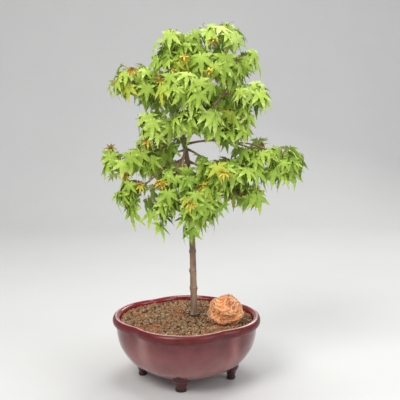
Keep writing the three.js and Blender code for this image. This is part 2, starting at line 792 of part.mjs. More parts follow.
// Each twig carries a fan of leaves at its tip and pairs below. A leaf that would touch anything
// or leave the space is tried again, turned further, and then skipped.
function growLeaves(mass, stem, twigs, stretches) {
  const lines = [...stem.curves, ...twigs.map((twig) => twig.line)];
  const ownWood = lines.map((line) => [line.v1, line.v2]);
  const leaves = [];
  const fits = (leaf) => {
    if (!keepsToSpace([...leaf.outline, leaf.heart, leaf.root], mass)) return false;
    if (!clearOfWood([...leaf.blade, leaf.stalkLine], SPACING.toWood, stretches)) return false;
    if (linesDistance(leaf.blade, ownWood) < SPACING.toTwig) return false;
    return leaves.every((other) => leafDistance(other, leaf) > SPACING.toLeaf);
  };
  for (const [i, place] of TWIG.leaves.entries()) {
    for (const twig of twigs) {
      const root = twig.line.getPoint(place.along);
      const outward = Math.atan2(root.y - CROWN_AXIS.y, root.x - CROWN_AXIS.x);
      for (const trial of LEAF.tries) {
        const leaf = leafAt(root, outward + place.turn, twig.draws[i], trial);
        Object.assign(leaf, leafPoints(leaf));
        if (!fits(leaf)) continue;
        leaves.push(leaf);
        break;
      }
    }
  }
  return leaves;
}

// Joins a mass's stem, twigs and leaves. The stem starts clear of the bough's tip.
function massGeometry(mass, limb, stretches) {
  const { lerp } = THREE.MathUtils;
  const stem = stemLines(limb);
  const twigs = growTwigs(mass, stem, stretches);
  const leaves = growLeaves(mass, stem, twigs, stretches);
  const start = limb.enter + CLEAR / limb.curve.getLength();
  const stemRadius = (t) => lerp(BOUGH.tipRadius, STEM.tipRadius, (t - limb.enter) / (1 - limb.enter));
  const twigRadius = (t) => lerp(TWIG.radius, TWIG.tipRadius, t);
  let solid = solidFrom(limbGeometry(limb.curve, stemRadius, STEM.sides, STEM.steps, start, 1));
  for (const twig of twigs) {
    solid = solid.add(solidFrom(limbGeometry(twig.line, twigRadius, TWIG.sides, 1)));
  }
  for (const leaf of leaves) {
    solid = solid.add(solidFrom(leafGeometry(leaf)));
  }
  return geometryFrom(largestPiece(solid));
}

// A bough is cut off clear of the limb that it leaves
function boughGeometry(limb) {
  const { parent } = limb;
  const bough = limbGeometry(limb.curve, limb.radiusAt, limb.sides, limb.steps, 0, limb.enter);
  const grownRadius = (t) => parent.radiusAt(t) + CLEAR;
  const cutter = limbGeometry(parent.curve, grownRadius, parent.sides, parent.steps, 0, parent.enter);
  return geometryFrom(largestPiece(solidFrom(bough).subtract(solidFrom(cutter))));
}

// The assembly

function build() {
  const plant = new THREE.Group();
  plant.add(mesh('pot', potGeometry(), MATERIALS.glaze));
  plant.add(mesh('soil', soilGeometry(), MATERIALS.soil));
  plant.add(mesh('stone', stoneGeometry(), MATERIALS.stone));
  plant.add(mesh('trunk', trunkGeometry(), MATERIALS.bark));
  const limbs = layOutLimbs();
  const stretches = woodStretches(limbs);
  for (const limb of limbs.values()) {
    if (limb.name === 'trunk') continue;
    plant.add(mesh(limb.name, boughGeometry(limb), MATERIALS.bark));
    if (!limb.mass) continue;
    plant.add(mesh(`leaves_${limb.mass.name}`, massGeometry(limb.mass, limb, stretches), MATERIALS.foliage));
  }
  return plant;
}

// The plant's lowest and middle point is moved to the origin
const plant = build();
const box = new THREE.Box3().setFromObject(plant, true);
const middle = box.getCenter(new THREE.Vector3());
plant.position.set(-middle.x, -middle.y, -box.min.z);

const root = new THREE.Group();
root.add(plant);

export default root;
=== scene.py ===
import functools
import json
import math
from types import SimpleNamespace

import bmesh
import bpy
import numpy as np
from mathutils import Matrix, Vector, noise

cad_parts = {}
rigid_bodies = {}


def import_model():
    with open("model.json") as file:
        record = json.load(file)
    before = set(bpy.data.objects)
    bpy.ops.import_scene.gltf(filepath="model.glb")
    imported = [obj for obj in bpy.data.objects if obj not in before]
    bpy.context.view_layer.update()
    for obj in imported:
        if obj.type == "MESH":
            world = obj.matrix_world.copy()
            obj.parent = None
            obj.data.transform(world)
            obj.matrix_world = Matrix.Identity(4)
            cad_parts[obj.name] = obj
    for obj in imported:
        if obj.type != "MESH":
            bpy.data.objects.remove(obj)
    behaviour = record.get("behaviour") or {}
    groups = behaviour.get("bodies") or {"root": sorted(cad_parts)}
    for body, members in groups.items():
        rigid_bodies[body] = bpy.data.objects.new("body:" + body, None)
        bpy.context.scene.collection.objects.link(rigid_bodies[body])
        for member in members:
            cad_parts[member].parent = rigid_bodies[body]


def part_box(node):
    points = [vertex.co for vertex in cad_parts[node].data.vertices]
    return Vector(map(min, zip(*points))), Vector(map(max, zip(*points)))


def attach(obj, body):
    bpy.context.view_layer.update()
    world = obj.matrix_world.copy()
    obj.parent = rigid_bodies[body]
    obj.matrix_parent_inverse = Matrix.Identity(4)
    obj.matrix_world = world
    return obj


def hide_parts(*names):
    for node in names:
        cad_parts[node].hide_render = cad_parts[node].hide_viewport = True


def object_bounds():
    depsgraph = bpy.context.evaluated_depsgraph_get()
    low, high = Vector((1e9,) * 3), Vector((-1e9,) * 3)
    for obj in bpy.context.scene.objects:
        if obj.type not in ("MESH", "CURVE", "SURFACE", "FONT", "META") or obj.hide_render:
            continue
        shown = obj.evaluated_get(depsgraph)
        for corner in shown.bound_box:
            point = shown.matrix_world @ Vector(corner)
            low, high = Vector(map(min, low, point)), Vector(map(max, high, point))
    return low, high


bl_info = {
    "name": "Potted japanese maple",
    "version": (1, 0, 0),
    "blender": (4, 5, 0),
    "location": "View3D > Sidebar > Maple",
    "description": "Builds a young maple bonsai with its glazed bowl, soil and stone",
    "category": "Add Mesh",
}

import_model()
CAD_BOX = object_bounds()
CAD_LOW = np.array(CAD_BOX[0])
CAD_HIGH = np.array(CAD_BOX[1])
POT_LOW, POT_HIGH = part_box("pot")
POT_MIDDLE = np.array(((POT_LOW.x + POT_HIGH.x) / 2, (POT_LOW.y + POT_HIGH.y) / 2, 0.0))

UP = np.array((0.0, 0.0, 1.0))
EAST = np.array((1.0, 0.0, 0.0))
TURN = 2 * math.pi
GOLDEN_ANGLE = math.pi * (3 - math.sqrt(5))
GOLDEN_SHARE = 0.618
NEARLY_ZERO = 1e-9

# Sizes of the pot

POT = SimpleNamespace(
    turn=math.radians(-7),
    notches=4,
    notch_shift=math.radians(5),
    notch_depth=0.08,
    notch_softness=0.12,
    notch_narrowing=1.4,
    notch_at_base=0.35,
    notch_full_height=0.090,
    base=0.0205,
    segments=288,
    wall_steps=4,
    outer_wall=[(0, 0.0205), (0.066, 0.021), (0.077, 0.0243), (0.086, 0.0295), (0.0945, 0.0365),
                (0.101, 0.0445), (0.1065, 0.053), (0.1105, 0.062), (0.1138, 0.076), (0.1154, 0.0905)],
    lip=[(0.1159, 0.0925), (0.1172, 0.0931), (0.119, 0.0939), (0.1205, 0.096), (0.1212, 0.099),
         (0.1208, 0.102), (0.1195, 0.1045), (0.1175, 0.1062), (0.115, 0.107), (0.1122, 0.1064),
         (0.1101, 0.1048)],
    # Corners of the lip where the dark band, the thin pale crest and the red inner face begin; the crest's
    # pale pink is where the glaze breaks and also a painted highlight
    bands=[0.5, 6.8, 7.8],
    inner_wall=[(0.109, 0.1022), (0.1082, 0.096), (0.1075, 0.088), (0.098, 0.052), (0.08, 0.033),
                (0.060, 0.0285), (0, 0.028)],
)
FOOT = SimpleNamespace(
    rings=(0.074, 0.066),
    segments=56,
    wall_steps=3,
    narrowing=0.8,
    profile=[(0, 0), (0.0074, 0), (0.0083, 0.0005), (0.009, 0.0015), (0.0092, 0.0027), (0.0088, 0.004),
             (0.0087, 0.006), (0.0091, 0.0085), (0.01, 0.011), (0.0112, 0.0137), (0.0126, 0.0158),
             (0.0136, 0.0168), (0.0146, 0.0182), (0.0156, 0.0205), (0.016, 0.0232), (0.0159, 0.0255),
             (0.0152, 0.0278), (0, 0.028)],
    crest_width=0.0085,
    crest_low=0.021,
    crest_high=0.0335,
    crest_rise=0.0016,
    crest_full=0.35,
    crest_from=0.07,
    dark_crest=0.15,
)
SOIL = SimpleNamespace(
    level=0.1025,
    edge=0.101,
    edge_radius=0.1079,
    mound=0.0011,
    mound_spacing=0.023,
    mound_slant=(0.3, -0.4),
    calm_around_trunk=(0.014, 0.034),
    calm_at_wall=(0.092, 0.104),
    wall_gap=0.0006,
    segments=144,
    bed_rings=24,
    bed_depth=0.0022,
    bed_lumps=0.0006,
    bed_lump_scale=260.0,
    reach=0.1062,
    clear_of_stone=0.86,
    clear_of_trunk=1.12,
    grain_seed=11,
    grain_depth=0.0016,
    grain_scatter=0.4,
    grain_spread=0.24,
    grain_limits=(0.0018, 0.0056),
    grain_shift=(-0.0004, 0.0003),
    grain_stretch=(0.7, 1.15),
    grain_unevenness=0.16,
    upper_pitch=2.1,
    upper_rise=0.0009,
    rust_scale=30.0,
    rust_from=0.2,
    rust_share=0.4,
    dark_reach=0.019,
    dark_share=0.6,
)
STONE = SimpleNamespace(
    centre=(0.0635, -0.031, 0.121),
    size=(0.054, 0.044, 0.051),
    underside=0.86,
    detail=6,
    swells=[(0.035, (5, -4.3, 0), 2.47), (0.035, (5, 4.3, 0), 0.13),
            (0.049, (3, 0, 6.1), 0.0), (0.05, (0, 9, -7), 5.0)],
    warp=0.35,
    warp_scale=1.7,
    warp_seeds=(3.0, 11.0, 29.0),
    sharpness=2.2,
    ridge_height=0.055,
    ridge_scale=3.1,
    fold_height=0.034,
    fold_scale=6.3,
    crumb_height=0.018,
    crumb_scale=16.0,
)

# Sizes of the tree

CLEAR = 0.00035
TRUNK = SimpleNamespace(
    stations=[(0.0126, 0.016, 0.10285), (0.0124, 0.0156, 0.110), (0.0114, 0.0135, 0.150),
              (0.0102, 0.0105, 0.205), (0.0084, 0.0085, 0.260), (0.0056, 0.0065, 0.312),
              (0.0026, 0.004, 0.354), (-0.0022, 0.002, 0.384), (-0.0056, 0.0015, 0.406),
              (-0.014, 0.003, 0.428), (-0.021, 0.005, 0.452), (-0.025, 0.004, 0.476)],
    radii=[0.0068, 0.0057, 0.0054, 0.005, 0.0046, 0.0041, 0.0039, 0.0036, 0.0033, 0.0029, 0.0024, 0.0019],
    steps=26,
    joints=[0.147, 0.177, 0.210, 0.243, 0.275, 0.306, 0.334, 0.359, 0.386],
    joint_swelling=0.16,
    bark_swelling=0.06,
    joint_half=0.0032,
    knobs=[(0.147, 180, 0.0011), (0.147, 0, 0.0010), (0.177, 180, 0.0014), (0.177, -70, 0.0006),
           (0.210, 200, 0.0008), (0.210, 20, 0.0008), (0.243, 0, 0.0009), (0.275, 160, 0.0009)],
    knob_height=0.0034,
    knob_angle=55,
    flare=0.0016,
    flare_height=0.010,
    roots=3,
    roots_turn=0.6,
    sunk=0.001,
    rings=300,
    sides=32,
    wrinkle_stretch=(1, 1, 0.25),
    wrinkle_scale=900.0,
    lump_share=1.3,
    lump_scale=160.0,
    ring_half=0.0006,
    ring_sway=0.0016,
    ring_sway_scale=120.0,
)
BOUGH = SimpleNamespace(
    steps=4,
    foot=0.0019,
    tip=0.00135,
    foot_share=0.8,
    shortest=0.12,
    young_from=0.1,
    rings=44,
    sides=12,
    joint_spacing=0.024,
    joint_half=0.03,
    joint_swelling=0.14,
    collar=0.5,
    collar_length=0.006,
    relief=0.00016,
    relief_scale=500.0,
)
STEM = SimpleNamespace(
    steps=2,
    tip=0.0012,
    enters_at=0.5,
    past_middle=0.25,
    roots_from=0.2,
    roots_span=0.75,
    roots_shift=0.3,
)
TWIG = SimpleNamespace(
    radius=0.00085,
    tip=0.00075,
    foot_share=1.15,
    rings=9,
    sides=7,
    bud_swelling=0.16,
    far=0.45,
    far_spread=0.35,
    lift=0.4,
    highest=0.9,
    fall=1.3,
    tries=[(0, 1), (0.8, 0.85), (-0.8, 0.7)],
    leaves=[(0.97, 0), (0.91, 0.7), (0.85, -0.7), (0.76, 0.3), (0.7, -0.35), (0.6, 1),
            (0.53, -1), (0.4, 0.5), (0.33, -0.6)],
)
# The finer shoots that stand along a twig: where, how far turned from the twig, and their leaves
SHOOT = SimpleNamespace(
    places=[(0.16, 2.0), (0.3, 1.2), (0.42, -1.2), (0.55, 1.1),
            (0.68, -1.0), (0.8, 0.9), (0.92, -0.8), (1.0, 0.1)],
    length=0.018,
    length_spread=0.8,
    rise=-0.45,
    rise_spread=0.95,
    radius=0.0006,
    tip=0.00045,
    rings=7,
    sides=5,
    arch=0.04,
    swing=0.14,
    heading_spread=0.7,
    leaves=[(1.0, 0.35), (0.97, -0.45), (0.6, 1.2), (0.55, -1.2)],
    smallest_leaf=0.66,
    droop=0.05,
    roll_spread=0.9,
    tilt_spread=0.8,
    apart=0.0108,
    tries=[(0, 0, 1), (0.6, 0, 1), (-0.6, 0, 1), (1.3, 0.1, 0.9), (-1.3, 0.1, 0.9)],
    past_reach=1.16,
    hang=1.5,
    past_border=0.012,
    to_wood=0.0006,
)
# Longer shoots that trail from the nearest twig of a mass to where the photo has leaves beside it,
# and four that fill the back between the storeys
TRAIL_STARTS = (0.4, 0.7, 1.0)
TRAIL_LEAVES = [(1.0, 0.3), (1.0, -0.6), (0.8, 1.3), (0.75, -1.3), (0.5, 0.9), (0.45, -0.9)]
TRAILS = [
    ("apex_left", (-0.035, -0.012, 0.520)),
    ("apex_left", (-0.012, -0.034, 0.514)),
    ("crown_inner_right", (0.027, -0.030, 0.524)),
    ("crown_front", (-0.021, -0.050, 0.455)),
    ("crown_left", (-0.064, -0.020, 0.460)),
    ("right_middle", (0.099, -0.028, 0.432)),
    ("dome_low_front", (0.040, -0.058, 0.412)),
    ("dome_low_right", (0.066, -0.034, 0.403)),
    ("left_middle", (-0.018, -0.026, 0.392)),
    ("left_middle", (-0.092, -0.020, 0.362)),
    ("far_right", (0.095, -0.010, 0.378)),
    ("far_right", (0.108, -0.014, 0.354)),
    ("far_right_tip", (0.137, -0.010, 0.343)),
    ("far_right_tip", (0.164, -0.006, 0.340)),
    ("right_low", (0.053, -0.048, 0.318)),
    ("right_low", (0.060, -0.048, 0.298)),
    ("right_low", (0.098, -0.034, 0.342)),
    ("right_low_tip", (0.101, -0.022, 0.309)),
    ("front_low", (0.008, -0.060, 0.266)),
    ("front_left_low", (-0.045, -0.056, 0.264)),
    ("left_low", (-0.078, -0.028, 0.288)),
    ("left_low", (-0.106, -0.022, 0.336)),
    ("front_middle", (0.021, -0.040, 0.366)),
    ("crown_back_left", (-0.052, 0.060, 0.420)),
    ("back_left_low", (-0.040, 0.062, 0.392)),
    ("crown_back_right", (0.082, 0.060, 0.404)),
    ("back_right_low", (0.088, 0.058, 0.352)),
]
YOUNG = SimpleNamespace(
    stem=0.004,
    stem_spread=0.003,
    radius=0.0006,
    rings=4,
    sides=6,
    fewest=6,
    more=4,
    size=0.0135,
    size_spread=0.007,
    gold_reach=0.020,
    gold_share=0.3,
    amber_share=0.45,
    tilt=0.1,
    tilt_spread=2.0,
    narrowing=0.8,
    fold=0.4,
    past_tip=0.0015,
)
# The tufts of young leaves that show in the photo
TUFTS = [
    ("apex_left", (-0.002, -0.054, 0.522)),
    ("crown_left", (-0.080, -0.050, 0.504)),
    ("crown_front", (-0.036, -0.075, 0.486)),
    ("crown_inner_right", (0.036, -0.064, 0.499)),
    ("apex_right", (0.042, -0.036, 0.547)),
    ("left_middle", (-0.058, -0.050, 0.396)),
    ("left_low", (-0.069, -0.052, 0.328)),
    ("front_low", (0.009, -0.094, 0.306)),
    ("right_low", (0.059, -0.072, 0.349)),
]
LEAF = SimpleNamespace(
    length=0.034,
    spread=0.3,
    stalk=0.009,
    stalk_spread=0.010,
    stalk_radii=[0.00058, 0.00046, 0.00045, 0.0004, 0.0002],
    stalk_sides=4,
    stalk_bow=0.10,
    stalk_under=0.02,
    stalk_below=0.0003,
    droop=0.7,
    droop_spread=0.55,
    bend=1.0,
    bend_spread=0.35,
    sag=0.24,
    turn_spread=0.5,
    roll_spread=0.25,
    curl=0.2,
    cut_lift=0.025,
    heart=0.12,
    middle=0.3,
    lobes=[(0, 1.0), (47, 0.84), (98, 0.5)],
    cuts=[(22, 0.36), (73, 0.3)],
    base=0.08,
    tries=[(0, 0, 1), (0.5, 0.12, 1), (-0.5, 0.12, 1), (1, 0.2, 1), (-1, 0.2, 1), (1.6, 0.25, 0.92),
           (-1.6, 0.25, 0.92), (2.3, 0.3, 0.86), (-2.3, 0.3, 0.86), (3.1, 0.3, 0.8),
           (0.25, 0.35, 0.8), (-0.25, 0.35, 0.8)],
)
LEAF_DRAWS = 6
# The greens: paler towards the top and the outside of the crown and darker low and inside it, as painted
# light and shade, with a random spread of tone
GREENS = SimpleNamespace(
    lowest=0.27, height=0.3, reach=0.12, darkest=1.1, painted_light_by_height=1.0, painted_light_by_reach=0.9, spread=2.2,
    under=0.42, under_share=0.14, shade=0.78,
)
# What is added to a mass's seed for each kind of thing that grows on it
SEEDS = SimpleNamespace(blades=200, twigs=500, tufts=700, shoots=1000, trails=1500)
CROWN_AXIS = np.array((0.008, 0.008))
SPACING = SimpleNamespace(to_wood=0.0018, to_leaf=0.0014, to_twig=0.0015, to_border=0.0002, past_reach=1.25)
# How far the finest tips may pass the solids' box, as a share of its sides
BOX_MARGIN = 0.008
# Where the lens is
LENS = np.array((0.0221, -1.282, 0.490))
# Where the photo shows sky between the leaves: across, up and radius, in the plane of the pot's middle
SKY = np.array([
    (-0.045, 0.550, 0.013), (-0.088, 0.507, 0.008), (-0.004, 0.561, 0.007), (0.042, 0.544, 0.010),
    (0.068, 0.527, 0.008), (0.102, 0.490, 0.008), (-0.092, 0.461, 0.012), (0.128, 0.480, 0.008),
    (-0.083, 0.413, 0.010), (0.113, 0.405, 0.009), (-0.091, 0.381, 0.009), (0.127, 0.385, 0.008),
    (-0.058, 0.374, 0.008), (-0.026, 0.364, 0.009), (0.000, 0.346, 0.010), (-0.116, 0.319, 0.010),
    (-0.063, 0.294, 0.013), (0.086, 0.291, 0.013), (-0.108, 0.344, 0.005), (0.172, 0.384, 0.006),
    (-0.063, 0.258, 0.006), (-0.026, 0.246, 0.007), (0.038, 0.240, 0.009), (0.112, 0.437, 0.006),
])

# The right-hand fork: name, parent, where it leaves it, its end, its lift and its foot's radius
FORK = ("right_fork", "trunk", 0.655, (0.074, 0, 0.486), -0.02, 0.0024)

# The masses of foliage: name, middle, reach, parent, where they leave it, lift of the bough,
# number of twigs and seed
MASS_ROWS = [
    ("apex_right", (0.050, 0.004, 0.544), (0.044, 0.040, 0.033), "trunk", 0.94, -0.1, 4, 1),
    ("apex_left", (-0.009, -0.008, 0.533), (0.046, 0.040, 0.038), "trunk", 0.99, 0, 5, 2),
    ("crown_left", (-0.074, -0.010, 0.476), (0.044, 0.038, 0.036), "trunk", 0.87, 0.12, 4, 3),
    ("crown_front", (0.002, -0.066, 0.463), (0.044, 0.038, 0.042), "trunk", 0.9, 0.05, 4, 154),
    ("crown_inner_right", (0.055, -0.024, 0.500), (0.034, 0.034, 0.034), "right_fork", 0.9, 0.04, 4, 5),
    ("crown_right", (0.084, 0.010, 0.506), (0.036, 0.036, 0.030), "right_fork", 0.98, 0.02, 4, 6),
    ("right_middle", (0.094, -0.022, 0.459), (0.044, 0.036, 0.030), "right_fork", 0.8, 0.04, 4, 182),
    ("dome_low_front", (0.016, -0.056, 0.424), (0.042, 0.034, 0.028), "trunk", 0.79, 0.06, 4, 8),
    ("dome_low_right", (0.079, -0.024, 0.412), (0.038, 0.034, 0.032), "right_fork", 0.5, -0.02, 4, 9),
    ("dome_low_left", (-0.047, -0.030, 0.409), (0.040, 0.036, 0.032), "trunk", 0.82, 0.05, 4, 10),
    ("crown_back", (0.012, 0.066, 0.508), (0.046, 0.040, 0.040), "trunk", 0.92, 0.08, 4, 11),
    ("crown_back_left", (-0.058, 0.058, 0.464), (0.042, 0.038, 0.038), "trunk", 0.85, 0.08, 4, 12),
    ("crown_back_right", (0.066, 0.064, 0.446), (0.042, 0.038, 0.038), "trunk", 0.77, 0.05, 4, 13),
    ("left_middle", (-0.060, -0.014, 0.370), (0.042, 0.036, 0.028), "trunk", 0.66, 0.05, 4, 14),
    ("far_left", (-0.112, 0, 0.350), (0.024, 0.026, 0.034), "left_middle", 0.55, 0.16, 2, 15),
    ("left_low", (-0.084, -0.020, 0.303), (0.034, 0.030, 0.044), "trunk", 0.575, 0.07, 4, 16),
    ("front_left_low", (-0.034, -0.054, 0.291), (0.036, 0.034, 0.044), "trunk", 0.595, 0.12, 4, 17),
    ("front_middle", (-0.006, -0.050, 0.336), (0.032, 0.032, 0.030), "trunk", 0.625, 0.1, 4, 18),
    ("front_low", (0.016, -0.056, 0.289), (0.036, 0.034, 0.044), "trunk", 0.54, 0.12, 4, 294),
    ("right_low", (0.054, -0.034, 0.340), (0.042, 0.034, 0.030), "trunk", 0.62, 0.08, 4, 20),
    ("right_low_tip", (0.088, -0.020, 0.301), (0.036, 0.030, 0.030), "trunk", 0.56, 0.06, 4, 21),
    ("far_right", (0.124, -0.004, 0.366), (0.034, 0.032, 0.030), "trunk", 0.64, 0.12, 4, 22),
    ("far_right_tip", (0.157, -0.006, 0.352), (0.034, 0.032, 0.034), "far_right", 0.7, 0.14, 4, 23),
    ("back_left_low", (-0.042, 0.064, 0.340), (0.044, 0.038, 0.038), "trunk", 0.61, 0.1, 4, 24),
    ("back_right_low", (0.056, 0.062, 0.312), (0.046, 0.038, 0.034), "trunk", 0.55, 0.12, 4, 25),
]
MASSES = [
    SimpleNamespace(
        name=name, centre=np.array(centre, float), reach=np.array(reach, float), parent=parent,
        along=along, lift=lift, shoots=shoots, seed=seed,
    )
    for name, centre, reach, parent, along, lift, shoots, seed in MASS_ROWS
]

# The storeys of the crown, each of which becomes one piece of leaves
STOREYS = {
    "crown": ["apex_right", "apex_left", "crown_left", "crown_front", "crown_inner_right", "crown_right"],
    "dome": ["right_middle", "dome_low_front", "dome_low_right", "dome_low_left"],
    "back": ["crown_back", "crown_back_left", "crown_back_right", "back_left_low", "back_right_low"],
    "left": ["left_middle", "far_left", "left_low", "front_left_low", "front_middle"],
    "right": ["front_low", "right_low", "right_low_tip", "far_right", "far_right_tip"],
}

# Settings that a user would change


class MaplePotSettings(bpy.types.PropertyGroup):
    """Sizes and glaze colours of the bowl"""

    rim_radius: bpy.props.FloatProperty(
        name="Rim radius", description="Half of the width of the lip", unit="LENGTH",
        default=(POT_HIGH.x - POT_LOW.x) / 2, min=0.05, max=0.5,
    )
    lip_colour: bpy.props.FloatVectorProperty(
        name="Lip colour", description="Bright red of the lip's inner face", subtype="COLOR",
        default=(0.250, 0.010, 0.014), min=0, max=1,
    )
    # Pale pink where the glaze breaks on the lip's crest, which also stands as a painted highlight along the
    # crest
    crest_glaze_and_highlight_colour: bpy.props.FloatVectorProperty(
        name="Crest colour", description="Pale pink line where the glaze breaks on the lip's crest",
        subtype="COLOR", default=(0.620, 0.340, 0.310), min=0, max=1,
    )
    band_colour: bpy.props.FloatVectorProperty(
        name="Band colour", description="Dark maroon of the lip's outer band", subtype="COLOR",
        default=(0.130, 0.007, 0.009), min=0, max=1,
    )
    body_colour: bpy.props.FloatVectorProperty(
        name="Body colour", description="Burgundy of the upper wall", subtype="COLOR",
        default=(0.145, 0.020, 0.024), min=0, max=1,
    )
    # Mauve of thinner glaze, lightened to stand as a painted reflection of the pale floor on the lower wall
    # and a painted pale streak along the notches
    thin_glaze_and_reflection_colour: bpy.props.FloatVectorProperty(
        name="Thin glaze colour", description="Mauve where the glaze has run thin", subtype="COLOR",
        default=(0.350, 0.140, 0.132), min=0, max=1,
    )
    foot_colour: bpy.props.FloatVectorProperty(
        name="Foot colour", description="Dark maroon of the feet", subtype="COLOR",
        default=(0.062, 0.006, 0.008), min=0, max=1,
    )


class MapleSoilSettings(bpy.types.PropertyGroup):
    """The gritty soil and the stone on it"""

    grain_pitch: bpy.props.FloatProperty(
        name="Grain spacing", description="Distance between neighbouring grains", unit="LENGTH",
        default=0.0028, min=0.001, max=0.02,
    )
    grain_size: bpy.props.FloatProperty(
        name="Grain size", description="Width of a middling grain", unit="LENGTH",
        default=0.0035, min=0.001, max=0.02,
    )
    stone_colour: bpy.props.FloatVectorProperty(
        name="Stone colour", description="Orange of the stone's body", subtype="COLOR",
        default=(0.78, 0.255, 0.070), min=0, max=1,
    )
    stone_edge_colour: bpy.props.FloatVectorProperty(
        name="Stone edge colour", description="Cream of the stone's ridges", subtype="COLOR",
        default=(0.92, 0.62, 0.36), min=0, max=1,
    )


class MapleTreeSettings(bpy.types.PropertyGroup):
    """Bark, twigs and leaves"""

    bark_colour: bpy.props.FloatVectorProperty(
        name="Bark colour", description="Pinkish brown of the trunk", subtype="COLOR",
        default=(0.390, 0.255, 0.165), min=0, max=1,
    )
    bark_relief: bpy.props.FloatProperty(
        name="Bark relief", description="Depth of the bark's wrinkles", unit="LENGTH",
        default=0.00022, min=0, max=0.002,
    )
    young_wood_colour: bpy.props.FloatVectorProperty(
        name="Young wood colour", description="Pinkish brown of the twigs", subtype="COLOR",
        default=(0.460, 0.250, 0.180), min=0, max=1,
    )
    leaf_scale: bpy.props.FloatProperty(
        name="Leaf scale", description="Size of the blades, as a share of the grown size",
        default=1.0, min=0.5, max=1.5,
    )
    tufts: bpy.props.FloatProperty(
        name="Young tufts", description="Share of twigs that carry a tuft of young amber leaves",
        subtype="FACTOR", default=0.14, min=0, max=1,
    )


class MapleStageSettings(bpy.types.PropertyGroup):
    """Floor, light and camera"""

    floor_colour: bpy.props.FloatVectorProperty(
        name="Floor colour", description="Pale floor", subtype="COLOR",
        default=(0.60, 0.595, 0.585), min=0, max=1,
    )
    camera_height: bpy.props.FloatProperty(
        name="Camera height", description="Height of the lens above the floor", unit="LENGTH",
        default=LENS[2], min=0, max=5,
    )
    camera_distance: bpy.props.FloatProperty(
        name="Camera distance", description="From the lens to the pot's middle", unit="LENGTH",
        default=-LENS[1], min=0.2, max=10,
    )
    camera_offset: bpy.props.FloatProperty(
        name="Camera offset", description="How far the lens stands right of the pot's middle",
        unit="LENGTH", default=LENS[0], min=-1, max=1,
    )
    camera_pitch: bpy.props.FloatProperty(
        name="Camera pitch", description="How far the camera looks down", subtype="ANGLE",
        default=math.radians(8.6), min=0, max=1.5,
    )
    lens: bpy.props.FloatProperty(
        name="Lens", description="Focal length on a 36 mm sensor, in millimetres",
        default=72.54, min=10, max=300,
    )


# Seeded chance and plain geometry


class Draws:
    """A seeded generator of shares from 0 to 1, the same one that the solids are grown with"""

    modulus = 2147483647
    multiplier = 16807
    seed_step = 7919
    seed_start = 104729

    def __init__(self, seed):
        self.state = (seed * self.seed_step + self.seed_start) % self.modulus
        self()
        self()

    def __call__(self):
        self.state = self.state * self.multiplier % self.modulus
        return self.state / self.modulus

    def around(self, middle, spread):
        return middle + spread * (self() - 0.5)


def unit(vector):
    return vector / np.linalg.norm(vector)


def mix(low, high, share):
    return low + (high - low) * share


def smooth_step(value, low, high):
    share = np.clip((value - low) / (high - low), 0, 1)
    return share * share * (3 - 2 * share)


class ThroughPoints:
    """A smooth curve through points, by a Catmull-Rom spline"""

    def __init__(self, points):
        points = np.array(points, float)
        self.points = np.vstack([2 * points[0] - points[1], points, 2 * points[-1] - points[-2]])

    def __call__(self, t):
        spans = len(self.points) - 3
        k = min(int(t * spans), spans - 1)
        w = t * spans - k
        before, start, end, after = self.points[k:k + 4]
        leave = (end - before) / 2
        arrive = (after - start) / 2
        square = -3 * start + 3 * end - 2 * leave - arrive
        cube = 2 * start - 2 * end + leave + arrive
        return start + leave * w + square * w**2 + cube * w**3


class Bow:
    """A curve from start to end, drawn towards one point between them"""

    def __init__(self, start, bend, end):
        self.start, self.bend, self.end = start, bend, end

    def __call__(self, t):
        return (1 - t) ** 2 * self.start + 2 * (1 - t) * t * self.bend + t**2 * self.end


def stretch_distances(first, second):
    """Shortest distances between every straight stretch of one list and every one of another"""
    nearly_zero = 1e-18
    u = first[:, None, 1] - first[:, None, 0]
    v = second[None, :, 1] - second[None, :, 0]
    w = first[:, None, 0] - second[None, :, 0]
    uu, uv, vv = (u * u).sum(-1), (u * v).sum(-1), (v * v).sum(-1)
    uw, vw = (u * w).sum(-1), (v * w).sum(-1)

    def share(part, whole):
        return np.clip(np.where(whole > nearly_zero, part / np.maximum(whole, nearly_zero), 0), 0, 1)

    s = share(uv * vw - vv * uw, uu * vv - uv * uv)
    t = share(uv * s + vw, vv)
    s = share(uv * t - uw, uu)
    return np.linalg.norm(w + s[..., None] * u - t[..., None] * v, axis=-1)


# Meshes from arrays


class Heap:
    """Collects bits of mesh, which are joined into one object"""

    def __init__(self):
        self.points, self.faces, self.slots, self.count = [], [], [], 0

    def add(self, points, faces, slots=0):
        faces = np.asarray(faces, int)
        self.points.append(np.asarray(points, float))
        self.faces.append(faces + self.count)
        self.slots.append(np.broadcast_to(np.asarray(slots, int), len(faces)))
        self.count += len(points)

    def build(self, name, materials, smooth=True):
        points = np.concatenate(self.points) + POT_MIDDLE
        return mesh_object(name, points, np.concatenate(self.faces), materials,
                           np.concatenate(self.slots), smooth)


def mesh_object(name, points, triangles, materials, slots=None, smooth=True):
    """An object of triangles in the scene, each with the material of its slot"""
    mesh = bpy.data.meshes.new(name)
    mesh.vertices.add(len(points))
    mesh.vertices.foreach_set("co", np.asarray(points, np.float32).ravel())
    mesh.loops.add(3 * len(triangles))
    mesh.loops.foreach_set("vertex_index", np.asarray(triangles, np.int32).ravel())
    mesh.polygons.add(len(triangles))
    mesh.polygons.foreach_set("loop_start", np.arange(0, 3 * len(triangles), 3, dtype=np.int32))
    mesh.polygons.foreach_set("use_smooth", np.full(len(triangles), smooth))
    for material in materials:
        mesh.materials.append(material)
    if slots is not None:
        mesh.polygons.foreach_set("material_index", np.asarray(slots, np.int32))
    mesh.update()
    mesh.validate()
    made = bpy.data.objects.new(name, mesh)
    bpy.context.scene.collection.objects.link(made)
    return made


